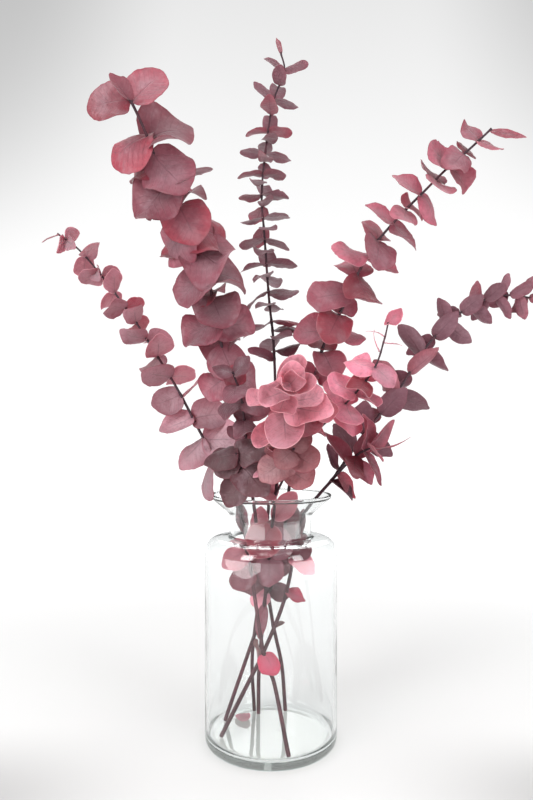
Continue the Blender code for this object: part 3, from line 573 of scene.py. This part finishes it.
def fine_route(shoot):
    """The shoot's points 2 mm apart and its radius at each, for testing what comes near it."""
    route = smooth_route(shoot["route"], ROUTE_STEP)
    points, girths = [], []
    for i, (a, b) in enumerate(zip(route, route[1:])):
        steps = max(1, round((b - a).length / FINE_STEP))
        for j in range(steps):
            points.append(a.lerp(b, j / steps))
            girths.append(lerp(*shoot["girth"], (i + j / steps) / (len(route) - 1)))
    return points + [route[-1]], girths + [shoot["girth"][1]]


def shoot_leaves(shoot):
    """The settings of each leaf of a shoot, before any is bent clear."""
    route = smooth_route(shoot["route"], ROUTE_STEP)
    draw = random.Random(shoot["seed"])
    whole = length_of(route)
    reach = max(shoot["pairs"]) or 1
    for number, back in enumerate(shoot["pairs"]):
        share = back / reach
        size = along(shoot["sizes"], share)
        spread = lerp(*shoot["spread"], min(share * SPREAD_RISE, 1.0))
        angle = shoot["phase"] + QUARTER * number + draw.uniform(-shoot["turn"], shoot["turn"])
        for side in (0, 2 * QUARTER):
            stagger = PAIR_STAGGER if side else 0.0
            place = (route, min(back + stagger, whole), angle + side, spread)
            yield *place, size, shoot["kind"], shoot["facing"]
    for back, angle, spread, size, kind, facing in shoot["single"]:
        back = back + whole if back < 0 else back
        yield route, back, angle, spread, size, kind, facing


def grown_leaves():
    """Each stem's leaves, bent clear of the glass and of the other stems. One that can't be is left off."""
    stems = {name: [fine_route(s) for s in shoots] for name, shoots in STEMS.items()}
    taken, leaves = {}, {}
    for name, shoots in STEMS.items():
        others = [tree for trees in taken.values() for tree in trees]
        taken[name], leaves[name] = [], []
        for shoot in shoots:
            draw = random.Random(shoot["seed"])
            for route, back, angle, spread, size, *habit in shoot_leaves(shoot):
                state = draw.getstate()
                for swing, lift, scale in BENDS:
                    draw.setstate(state)
                    leaf = make_leaf(route, back, angle + swing, spread + lift, size * scale, *habit, draw)
                    sides = FEW_SIDES if leaf["length"] < SMALL_LEAF else SIDES
                    points = [leaf_point(leaf, 0, 0)]
                    points += [leaf_point(leaf, math.tau * i / sides, 1.0) for i in range(sides)]
                    room = [LEAF_THICK + 2 * CLEAR] * len(points)
                    slab, faces = thickened(points, leaf_faces(sides, 1), room)
                    if meets_glass(slab):
                        continue
                    tree = BVHTree.FromPolygons(slab, faces)
                    if any(meets_stem(tree, slab, *s) for key in stems if key != name for s in stems[key]):
                        continue
                    if any(tree.overlap(other) for other in others):
                        continue
                    taken[name].append(tree)
                    leaves[name].append(leaf | dict(dye=shoot["dye"], young=math.exp(-back / YOUNG_REACH)))
                    break
    return leaves


stem_leaves = grown_leaves()


# The wood. Each branch is a thin round twig with its side shoots, red-brown where it stood in the dye and
# nearly black higher up. It swells a little at each leaf joint, and its cut end stands on the jar's floor.
SEAT_GAP = 0.3
WOOD_STEP = 2.5
JOINT_SWELL = 0.28
JOINT_LONG = 2.0
WOOD_BEVEL = 2
WOOD_CREASE = math.radians(50)
# How a screen turns its numbers into light
SCREEN_TOP = 255
SCREEN_FOOT = 0.055
SCREEN_CURVE = 2.4


def seen(red, green, blue):
    """A colour that a screen shows, each part from 0 to 255, as the light that it stands for."""
    parts = [(part / SCREEN_TOP + SCREEN_FOOT) / (1 + SCREEN_FOOT) for part in (red, green, blue)]
    return tuple(part ** SCREEN_CURVE for part in parts)


# The bark's colour low down and high up, and the heights between which it changes
BARK_LOW = seen(62, 20, 30)
BARK_HIGH = seen(62, 42, 50)
BARK_CHANGES = (0.10, 0.33)
# What is laid over it: its noise, the range of the noise over which it comes in, its share and its colour
BARK_PATCH = dict(lumps=(70.0, 2.0, 0.5), over=(0.45, 0.7), share=0.4, colour=seen(112, 54, 66))
BARK_STREAK = dict(lumps=(1400.0, 3.0, 0.6), over=(0.4, 0.7), share=0.45, colour=seen(44, 26, 32))
STREAK_LONG = 0.18
BARK_BUMP = dict(Strength=0.5, Distance=0.0003)
BARK_ROUGH = 0.45
STREAK_ROUGH = 0.25
BARK_SHINE = 0.25


def wood_finish():
    """Smooth young bark with fine lengthwise streaks, darker above the jar."""
    material = bpy.data.materials.new("young_bark")
    nodes = Nodes(material)
    place = nodes.add("ShaderNodeTexCoord", output="Object")
    height = nodes.add("ShaderNodeSeparateXYZ", {}, {0: place}, output="Z")
    long_way = nodes.add("ShaderNodeMapping", {}, {"Vector": place, "Scale": (1.0, 1.0, STREAK_LONG)})
    streak = nodes.cloud(long_way, *BARK_STREAK["lumps"])
    patch = nodes.cloud(place, *BARK_PATCH["lumps"])
    colour = nodes.blend(height.rise(*BARK_CHANGES), BARK_LOW, BARK_HIGH)
    for mask, layer in ((patch, BARK_PATCH), (streak, BARK_STREAK)):
        colour = nodes.blend(mask.rise(*layer["over"]) * layer["share"], colour, layer["colour"])
    bump = nodes.add("ShaderNodeBump", {}, BARK_BUMP | {"Height": streak})
    sockets = {"Base Color": colour, "Roughness": BARK_ROUGH + STREAK_ROUGH * streak, "Normal": bump}
    shader = nodes.add("ShaderNodeBsdfPrincipled", {}, sockets | {"Specular IOR Level": BARK_SHINE})
    nodes.add("ShaderNodeOutputMaterial", {}, {"Surface": shader})
    return material


def make_wood(name, bark):
    """All the shoots of one branch, as tubes that taper and swell along their routes."""
    curve = bpy.data.curves.new(name, "CURVE")
    curve.dimensions = "3D"
    curve.bevel_depth = MM
    curve.bevel_resolution = WOOD_BEVEL
    curve.use_fill_caps = True
    for shoot in STEMS[name]:
        route = smooth_route(shoot["route"], WOOD_STEP)
        if route[0].z < 2 * JAR_FLOOR:
            grow = (route[1] - route[0]).normalized()
            route[0].z = JAR_FLOOR + SEAT_GAP + math.hypot(grow.x, grow.y) * shoot["girth"][0]
        whole = length_of(route)
        joints = [back for _, back, *_ in shoot_leaves(shoot)]
        spline = curve.splines.new("POLY")
        spline.points.add(len(route) - 1)
        gone = 0.0
        for i, point in enumerate(route):
            gone += (point - route[i - 1]).length if i else 0.0
            swell = max(math.exp(-(((whole - gone - back) / JOINT_LONG) ** 2)) for back in joints)
            spline.points[i].co = (*(point * MM), 1.0)
            spline.points[i].radius = lerp(*shoot["girth"], gone / whole) * (1 + JOINT_SWELL * swell)
    rod = placed(name + "_rod", curve)
    bpy.context.view_layer.update()
    mesh = bpy.data.meshes.new_from_object(rod.evaluated_get(bpy.context.evaluated_depsgraph_get()))
    bpy.data.objects.remove(rod)
    mesh.shade_smooth()
    mesh.set_sharp_from_angle(angle=WOOD_CREASE)
    mesh.materials.clear()
    mesh.materials.append(bark)
    return placed(name + "_wood", mesh)


young_bark = wood_finish()
for stem in STEMS:
    stem_wood = make_wood(stem, young_bark)
    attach(stem_wood, "root")
    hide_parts(stem)


# The leaves. Preserved in dye, so leathery and matt: a grey bloom in the middle of the upper side, a redder
# margin, faint veins that fan out from the stalk, and a paler lower side. Light glows pink through the bright
# ones. Each is a thin closed blade, thicker along its midrib, with a crinkled face and a few notches.
BLADE_SIDES = 36
BLADE_RINGS = (0.2, 0.4, 0.58, 0.74, 0.87, 0.96, 1.0)
BLADE_THICK = 0.5
MARGIN_THICK = 0.26
BLADE_CREASE = math.radians(55)
# The midrib: how much it adds, how wide it is as a share of the leaf, and how fast it runs out
RIB_THICK = 0.8
RIB_WIDE = 0.05
RIB_ENDS = 1.3
# The crinkles: their height as a share of the leaf, what the middle has of it, and two sizes of lump
CRINKLE = 0.037
CRINKLE_MIDDLE = 0.3
CRINKLE_COARSE = 3.2
CRINKLE_FINE = 9
CRINKLE_FINE_SHARE = 0.4
# The margin: how uneven it is, its two sizes of lump, and its notches' number, depth, width and least angle
# from the tip
RAGGED = 0.038
RAGGED_COARSE = 2.5
RAGGED_FINE = 9
RAGGED_FINE_SHARE = 0.5
NOTCHES = (0, 1, 1, 2, 3)
NOTCH_DEEP = 0.055
NOTCH_DRAW = (0.2, 1.0)
NOTCH_WIDE = 0.10
NOTCH_FROM = 0.5
NOISE_FIELD = 99
# What each leaf's tone, the margin's share in its middle, its middle's tone and its glow are drawn from
TONE_DRAW = (0.6, 1.32)
MARGIN_DRAW = (0.0, 0.4)
MIDDLE_DRAW = (0.85, 1.1)
GLOW_DRAW = (0.8, 1.2)
GLOW = seen(236, 128, 150)
# Each dye: the middle of a leaf, its margin, how much light passes, the share of leaves that took up more of
# it, and how much more of it the young leaves at a tip took
DYES = dict(
    rose=((208, 154, 166), (230, 166, 182), 0.42, 0.0, 0.0),
    shell=((184, 132, 142), (196, 122, 136), 0.36, 0.05, 0.0),
    clay=((150, 114, 117), (158, 104, 108), 0.25, 0.0, 0.0),
    umber=((106, 78, 82), (94, 56, 62), 0.15, 0.0, 0.0),
    crimson=((140, 105, 114), (138, 68, 83), 0.2, 0.18, 0.9),
    plum=((120, 86, 95), (114, 62, 75), 0.18, 0.1, 0.0),
    dusk=((162, 116, 128), (170, 92, 110), 0.3, 0.1, 0.5),
    coral=((228, 174, 192), (236, 152, 176), 0.42, 0.1, 0.0),
    blush=((184, 166, 173), (178, 138, 150), 0.36, 0.05, 0.2),
    wine=((80, 43, 59), (86, 33, 53), 0.15, 0.1, 0.9),
    berry=((156, 102, 117), (178, 96, 116), 0.32, 0.15, 0.3),
    mauve=((114, 76, 87), (104, 50, 65), 0.15, 0.15, 0.5),
    steeped=((106, 40, 56), (98, 20, 40), 0.12, 0.0, 0.0),
    cherry=((200, 92, 120), (208, 54, 94), 0.3, 0.0, 0.0),
    olive=((142, 106, 96), (112, 70, 62), 0.2, 0.0, 0.0),
)
# Leaves that hang in the jar took up dye by how deep they stood in it: these run from the lowest up
JAR_DYES = ("olive", "cherry", "olive", "cherry", "steeped", "rose", "steeped", "plum", "shell", "umber")
JAR_LOWEST = 60.0
JAR_MIXED = 1.6
DEEP_HEART = seen(138, 76, 88)
DEEP_EDGE = seen(144, 46, 62)
# The noise in the skin, from coarse to fine
PATCHES = (62.0, 3.0, 0.6)
MOTTLES = (300.0, 4.0, 0.65)
GRAINS = (1500.0, 2.0, 0.6)
# The veins. The side ones fan out: their number along the leaf, how far they slant, and how uneven they are
RIB_LINE = 0.028
RIB_FADES = (0.5, 0.95)
FAN_ALONG = 7.5
FAN_SLANT = 5.0
FAN_UNEVEN = 1.2
FAN_START = 3.0
SIDE_VEIN = 0.10
SIDE_VEIN_SHARE = 0.55
SIDE_VEIN_FROM = 0.05
SIDE_VEIN_FADES = (0.8, 0.97)
# Where the margin's colour comes in: how far the patches and the leaf's own number move it, and its range
REDDER_PATCHES = 1.3
REDDER_START = 0.65
REDDER_CHANCE = 0.25
REDDER = (0.35, 1.1)
# What is laid over the dye, in this order: the range over which it comes in, its share and its colour
BLOOM = dict(over=(0.48, 0.68), share=0.36, colour=seen(156, 136, 144))
DARK_PATCH = dict(over=(0.3, 0.48), share=0.3, colour=seen(96, 40, 54))
LOWER_SIDE = dict(share=0.3, colour=seen(176, 130, 142))
DARK_MOTTLE = dict(over=(0.45, 0.75), share=0.38, colour=seen(92, 46, 58))
PALE_MOTTLE = dict(over=(0.25, 0.5), share=0.12, colour=seen(205, 165, 175))
VEIN = dict(share=0.42, colour=seen(100, 50, 62))
STALK_END = dict(along=(0.02, 0.2), aside=(0.03, 0.2), share=0.5, colour=seen(92, 48, 58))
# The rim is a dark line on dull leaves and a painted pale highlight on glowing ones
RIM_DARK = seen(116, 42, 56)
RIM_PAINTED_HIGHLIGHT = seen(244, 202, 210)
RIM_CHANGES = (0.3, 0.42)
RIM_LINE = (0.945, 0.99)
RIM_SHARE = 0.35
RIM_GLOW = 0.9
# The relief of the skin, its roughness, and the soft sheen of the bloom
RELIEF = dict(patch=1.5, mottle=0.5, grain=0.2, vein=0.6)
SKIN_BUMP = dict(Strength=0.7, Distance=0.0009)
SKIN_ROUGH = 0.42
MOTTLE_ROUGH = 0.25
SKIN_SHEEN = {"Specular IOR Level": 0.5, "Sheen Weight": 0.35, "Sheen Roughness": 0.4}
VEIN_DIMS = 0.4


def leaf_finish():
    """Dyed leaf. The blade's own numbers say where on it a point lies and which dye it took."""
    material = bpy.data.materials.new("dyed_leaf")
    nodes = Nodes(material)
    place = nodes.add("ShaderNodeTexCoord", output="Object")
    where = nodes.add("ShaderNodeAttribute", dict(attribute_name="blade_place"), output="Vector")
    across = nodes.add("ShaderNodeSeparateXYZ", {}, {0: where})
    aside, forward, reach = abs(across), across.out("Y"), across.out("Z")
    own = nodes.add("ShaderNodeAttribute", dict(attribute_name="blade_own"), output="Vector")
    upper = nodes.add("ShaderNodeSeparateXYZ", {}, {0: own})
    glow, chance = upper.out("Y"), upper.out("Z")
    heart = nodes.add("ShaderNodeAttribute", dict(attribute_name="blade_heart"))
    edge = nodes.add("ShaderNodeAttribute", dict(attribute_name="blade_edge"))
    patch, mottle, grain = [nodes.cloud(place, *lumps) for lumps in (PATCHES, MOTTLES, GRAINS)]

    rib = (1 - aside.rise(0.0, RIB_LINE)) * (1 - forward.rise(*RIB_FADES))
    fan = forward * FAN_ALONG - aside * FAN_SLANT + patch * FAN_UNEVEN + chance * FAN_START
    side_vein = 1 - abs(fan.math("FRACT", fan) - 0.5).rise(0.0, SIDE_VEIN)
    side_vein = side_vein * aside.rise(0.0, SIDE_VEIN_FROM) * (1 - reach.rise(*SIDE_VEIN_FADES))
    veins = rib.math("MAXIMUM", rib, side_vein * SIDE_VEIN_SHARE)
    stalk_end = 1 - forward.rise(*STALK_END["along"])
    stalk_end = stalk_end * (1 - aside.rise(*STALK_END["aside"]))

    redder = reach + patch * REDDER_PATCHES - REDDER_START + chance * REDDER_CHANCE
    colour = nodes.blend(redder.rise(*REDDER), heart, edge)
    for mask, layer in (
        (patch.rise(*BLOOM["over"]) * upper, BLOOM),
        (1 - patch.rise(*DARK_PATCH["over"]), DARK_PATCH),
        (1 - upper, LOWER_SIDE),
        (mottle.rise(*DARK_MOTTLE["over"]), DARK_MOTTLE),
        (1 - mottle.rise(*PALE_MOTTLE["over"]), PALE_MOTTLE),
        (veins, VEIN),
        (stalk_end, STALK_END),
    ):
        colour = nodes.blend(mask * layer["share"], colour, layer["colour"])
    # A thin line along the margin: dark on dull leaves, a painted highlight on glowing ones
    rim = nodes.blend(glow.rise(*RIM_CHANGES), RIM_DARK, RIM_PAINTED_HIGHLIGHT)
    colour = nodes.blend(reach.rise(*RIM_LINE) * (RIM_SHARE + glow * RIM_GLOW), colour, rim)

    height = patch * RELIEF["patch"] + mottle * RELIEF["mottle"] + grain * RELIEF["grain"]
    height = height - veins * RELIEF["vein"]
    bump = nodes.add("ShaderNodeBump", {}, SKIN_BUMP | {"Height": height})
    sockets = {"Base Color": colour, "Roughness": SKIN_ROUGH + MOTTLE_ROUGH * mottle, "Normal": bump}
    skin = nodes.add("ShaderNodeBsdfPrincipled", {}, sockets | SKIN_SHEEN)
    through = nodes.add("ShaderNodeBsdfTranslucent", {}, {"Color": (*GLOW, 1.0)})
    surface = nodes.add("ShaderNodeMixShader", {}, {0: glow * (1 - veins * VEIN_DIMS), 1: skin, 2: through})
    nodes.add("ShaderNodeOutputMaterial", {}, {"Surface": surface})
    return material


def notched(angle, notches):
    """How deep the notches in a leaf's margin are at an angle."""
    return sum(NOTCH_DEEP * deep * math.exp(-(((angle - at) / NOTCH_WIDE) ** 2)) for at, deep in notches)


def fine_blade(leaf, draw):
    """One leaf in full: its slab of points and faces, and each point's place as (aside, forward, reach)."""
    notches = []
    for _ in range(draw.choice(NOTCHES)):
        notches.append((draw.uniform(NOTCH_FROM, math.tau - NOTCH_FROM), draw.uniform(*NOTCH_DRAW)))
    shift = Vector([draw.uniform(0, NOISE_FIELD) for _ in range(3)])
    points, places = [leaf_point(leaf, 0, 0)], [(0.0, 0.5, 0.0)]
    for reach in BLADE_RINGS:
        for i in range(BLADE_SIDES):
            angle = math.tau * i / BLADE_SIDES
            way = Vector((math.cos(angle), math.sin(angle), 0.0))
            uneven = noise.noise(way * RAGGED_COARSE + shift)
            uneven += RAGGED_FINE_SHARE * noise.noise(way * RAGGED_FINE + shift)
            trim = RAGGED * uneven - notched(angle, notches)
            at = reach * (1 + trim * reach ** 4)
            edge = margin(leaf, angle) * at
            points.append(leaf_point(leaf, angle, at))
            places.append((edge * way.y * leaf["wide"], 0.5 + edge * way.x, reach))
    faces = leaf_faces(BLADE_SIDES, len(BLADE_RINGS))
    thickness = []
    for i, (aside, forward, reach) in enumerate(places):
        fold = noise.noise(Vector((aside, forward, 0)) * CRINKLE_COARSE + shift)
        fold += CRINKLE_FINE_SHARE * noise.noise(Vector((aside, forward, 1)) * CRINKLE_FINE)
        points[i] += leaf["upper"] * fold * CRINKLE * leaf["length"] * (CRINKLE_MIDDLE + reach)
        rib = math.exp(-((aside / RIB_WIDE) ** 2)) * max(0.0, 1 - RIB_ENDS * forward)
        thickness.append(lerp(BLADE_THICK, MARGIN_THICK, reach ** 3) + RIB_THICK * rib)
    slab, closed = thickened(points, faces, thickness)
    return slab, closed, places + places


def dyed(leaf, draw):
    """The colours that one leaf took: its middle and its margin, and how much light passes."""
    height = leaf["root"].z
    share = (height - JAR_LOWEST) / (JAR_HEIGHT - JAR_LOWEST)
    step = share * len(JAR_DYES) + draw.uniform(-JAR_MIXED, JAR_MIXED)
    jar_dye = JAR_DYES[min(max(int(step), 0), len(JAR_DYES) - 1)]
    heart, edge, glow, deep, young = DYES[jar_dye if 2 * JAR_FLOOR < height < JAR_HEIGHT else leaf["dye"]]
    heart, edge = Vector(seen(*heart)), Vector(seen(*edge))
    if draw.random() < deep:
        heart, edge = Vector(DEEP_HEART), Vector(DEEP_EDGE)
    young *= leaf["young"]
    heart, edge = heart.lerp(DEEP_HEART, young), edge.lerp(DEEP_EDGE, young)
    tone = draw.uniform(*TONE_DRAW)
    heart = heart.lerp(edge, draw.uniform(*MARGIN_DRAW)) * tone * draw.uniform(*MIDDLE_DRAW)
    edge *= tone
    return heart, edge, glow * draw.uniform(*GLOW_DRAW)


def make_leaves(name, leaves, seed, finish):
    """All the leaves of one branch as one mesh of thin closed blades."""
    draw = random.Random(seed)
    points, faces, places, owns, hearts, edges = [], [], [], [], [], []
    for leaf in leaves:
        slab, closed, on_blade = fine_blade(leaf, draw)
        heart, edge, glow = dyed(leaf, draw)
        chance = draw.random()
        first, half = len(points), len(slab) // 2
        points += [p * MM for p in slab]
        faces += [[first + i for i in face] for face in closed]
        places += on_blade
        owns += [(float(i < half), glow, chance) for i in range(len(slab))]
        hearts += [(*heart, 1.0)] * len(slab)
        edges += [(*edge, 1.0)] * len(slab)
    mesh = bpy.data.meshes.new(name)
    mesh.from_pydata(points, [], faces)
    for label, values in dict(place=places, own=owns, heart=hearts, edge=edges).items():
        kind, key = ("FLOAT_VECTOR", "vector") if len(values[0]) == 3 else ("FLOAT_COLOR", "color")
        flat = [part for value in values for part in value]
        mesh.attributes.new("blade_" + label, kind, "POINT").data.foreach_set(key, flat)
    mesh.shade_smooth()
    mesh.set_sharp_from_angle(angle=BLADE_CREASE)
    mesh.materials.append(finish)
    return placed(name, mesh)


dyed_leaf = leaf_finish()
for stem, leaves in stem_leaves.items():
    foliage = make_leaves(stem + "_leaves", leaves, STEMS[stem][0]["seed"], dyed_leaf)
    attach(foliage, "root")
    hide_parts(stem)


# The fallen leaf. One small dyed leaf that dropped off its stem and lies on the jar's floor, a little
# curled. It is made as the others are.
FALLEN_BASE = (-34.0, 40.0, 0.0)
FALLEN_WAY = math.radians(-75)
FALLEN_SEED = 7
fallen = dict(wide=0.74, tip=0.12, heart=0.05, roll=0.5, droop=-0.3, wave=0.0, ripple=0.0, twist=0.1)
fallen |= dict(dye="rose", young=0.0, length=24.0, root=Vector(FALLEN_BASE), upper=Vector((0, 0, 1)))
fallen["out"] = Vector((math.cos(FALLEN_WAY), math.sin(FALLEN_WAY), 0.0))
fallen["side"] = fallen["upper"].cross(fallen["out"])
lowest = min(p.z for p in fine_blade(fallen, random.Random(FALLEN_SEED))[0])
fallen["root"].z = JAR_FLOOR + SEAT_GAP - lowest
fallen_leaf = make_leaves("dropped_leaf", [fallen], FALLEN_SEED, dyed_leaf)
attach(fallen_leaf, "root")
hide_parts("fallen_leaf")


# The studio. White paper runs back into a white surround. Two tall softboxes stand at the front, a wide one
# hangs overhead and a dim one stands behind. The camera is level, at the height where the branches fork.
FLOOR_HALF = 40.0
CAMERA_PLACE = (-0.0047, -0.667, 0.330)
CAMERA_NEAR = 0.02
FOCAL_PIXELS = 626.0
HORIZON_ROW = 428.0
PICTURE_HEIGHT = 800.0
SENSOR = 36.0
# Each light: place, width, height, power. The last two are low panels that show in the glass of the neck
SOFTBOXES = [
    ((-1.25, -1.35, 1.15), 0.7, 1.3, 34.0),
    ((1.35, -1.25, 1.0), 0.6, 1.2, 17.0),
    ((0.1, -0.5, 2.2), 1.6, 1.4, 28.0),
    ((0.2, 1.7, 1.3), 1.4, 1.0, 16.0),
    ((-0.86, -0.73, 0.11), 1.4, 0.26, 4.4),
    ((0.95, -0.50, 0.11), 1.1, 0.26, 3.5),
]
AIM = Vector((0.0, 0.0, 0.36))
WHITE = (1.0, 1.0, 1.0, 1.0)
# The paper's colour in the open, and its darker colour as painted shade in the front corners and under the
# jar
PAPER = (0.74, 0.735, 0.73)
PAPER_CORNER_SHADE = (0.36, 0.355, 0.355)
PAPER_JAR_SHADE = (0.63, 0.62, 0.60)
# How strong the painted corner shade is, and where it comes in: aside, to the front and out from the jar
CORNER_SHADE_SHARE = 0.7
CORNER_SHADE_ASIDE = (0.04, 0.3)
CORNER_SHADE_FRONT = 0.04
CORNER_SHADE_DEEP = (0.0, 0.16)
CORNER_SHADE_ENDS = (0.28, 0.5)
# The paper's own light: its strength, its share under the jar, which is kept low there as painted shade,
# and what is added outside and far off
PAPER_GLOW = 1.16
GLOW_IN_JAR_SHADE = 0.02
GLOW_OUTSIDE = 0.22
GLOW_FAR = 0.76
# Where the painted shade under the jar ends, and where that light is added, from the jar's axis
JAR_SHADE_ENDS = (0.05, 0.08)
OUTSIDE = (0.055, 0.085)
FAR_OFF = (0.15, 1.25)
# The surround: how bright it is as a lamp, and what is added where it is seen and where glass shows it
SKY_LAMP = 0.22
SKY_SEEN = 0.83
SKY_THROUGH = 0.22
# How much duller it is overhead, in the top corners, and behind the camera where the glass mirrors it
SKY_TOP = (0.15, 0.95)
SKY_TOP_SHADE = 0.42
SKY_CORNER = (0.08, 0.2)
SKY_CORNER_SHADE = 0.34
SKY_MIDDLE = 0.04
SKY_BEHIND = (-0.5, 0.5)
SKY_BEHIND_SHADE = 0.6


def floor_finish():
    """White paper that grows brighter away from the jar, until it can't be told from the surround.
    It is darker under the jar and in the front corners, as painted shade.
    """
    material = bpy.data.materials.new("white_paper")
    nodes = Nodes(material)
    place = nodes.add("ShaderNodeTexCoord", output="Object")
    far = nodes.add("ShaderNodeVectorMath", dict(operation="LENGTH"), {0: place}, output="Value")
    bright = nodes.add("ShaderNodeEmission", {}, {"Color": WHITE, "Strength": PAPER_GLOW})
    spot = nodes.add("ShaderNodeSeparateXYZ", {}, {0: place})
    # Painted shade in the paper's front corners, which also dims the paper's own light there
    corner = abs(spot).rise(*CORNER_SHADE_ASIDE) * (CORNER_SHADE_FRONT - spot.out("Y")).rise(*CORNER_SHADE_DEEP)
    corner = corner * (1 - far.rise(*CORNER_SHADE_ENDS))
    paper = nodes.blend(corner * CORNER_SHADE_SHARE, PAPER, PAPER_CORNER_SHADE)
    # The paper is darker under the jar, as painted shade of the jar
    sockets = {"Base Color": nodes.blend(far.rise(*JAR_SHADE_ENDS), PAPER_JAR_SHADE, paper), "Roughness": 1.0}
    white = nodes.add("ShaderNodeBsdfPrincipled", {}, sockets | {"Specular IOR Level": 0.0})
    # The paper's own light is low under the jar and cut in the front corners, as painted shade
    share = GLOW_IN_JAR_SHADE + GLOW_OUTSIDE * far.rise(*OUTSIDE) + GLOW_FAR * far.rise(*FAR_OFF)
    surface = nodes.add("ShaderNodeMixShader", {}, {0: share * (1 - corner), 1: white, 2: bright})
    nodes.add("ShaderNodeOutputMaterial", {}, {"Surface": surface})
    return material


def surround(scene):
    """A white surround, duller overhead. As a lamp it is less bright than it is where the camera sees it."""
    scene.world = bpy.data.worlds.new("surround")
    nodes = Nodes(scene.world)
    way = nodes.add("ShaderNodeTexCoord", output="Generated")
    aside = nodes.add("ShaderNodeSeparateXYZ", {}, {0: way})
    ahead, height = aside.out("Y"), aside.out("Z")
    rays = nodes.add("ShaderNodeLightPath", output="Is Camera Ray")
    through = rays.out("Is Transmission Ray") * (1 - rays.out("Diffuse Depth").rise(0.0, 1.0))
    direct = rays.math("MAXIMUM", rays, through)
    mirrored = through.math("MAXIMUM", through, rays.out("Is Glossy Ray"))
    corner = abs(aside - SKY_MIDDLE) * height
    strength = SKY_LAMP + SKY_SEEN * direct + SKY_THROUGH * through
    strength = strength * (1 - SKY_TOP_SHADE * height.rise(*SKY_TOP))
    strength = strength * (1 - corner.rise(*SKY_CORNER) * SKY_CORNER_SHADE)
    strength = strength * (1 - mirrored * (1 - ahead.rise(*SKY_BEHIND)) * SKY_BEHIND_SHADE)
    light = nodes.add("ShaderNodeBackground", {}, {"Color": WHITE, "Strength": strength})
    nodes.add("ShaderNodeOutputWorld", {}, {"Surface": light})


scene = bpy.context.scene
bpy.ops.mesh.primitive_plane_add(size=2 * FLOOR_HALF, location=(0.0, 0.0, 0.0))
floor = bpy.context.object
floor.name = "floor"
floor.data.materials.append(floor_finish())
surround(scene)
for number, (place, width, height, power) in enumerate(SOFTBOXES):
    lamp = bpy.data.lights.new(f"softbox_{number}", "AREA")
    lamp.shape = "RECTANGLE"
    lamp.size, lamp.size_y, lamp.energy = width, height, power
    softbox = placed(lamp.name, lamp)
    softbox.location = place
    softbox.rotation_euler = (AIM - Vector(place)).to_track_quat("-Z", "Y").to_euler()
scene.view_settings.view_transform = "Standard"

camera = placed("camera", bpy.data.cameras.new("camera"))
camera.location = CAMERA_PLACE
camera.rotation_euler = (math.radians(90), 0.0, 0.0)
camera.data.sensor_fit = "VERTICAL"
camera.data.sensor_height = SENSOR
camera.data.lens = FOCAL_PIXELS / PICTURE_HEIGHT * SENSOR
camera.data.shift_y = (HORIZON_ROW - PICTURE_HEIGHT / 2) / PICTURE_HEIGHT
camera.data.clip_start = CAMERA_NEAR
scene.camera = camera
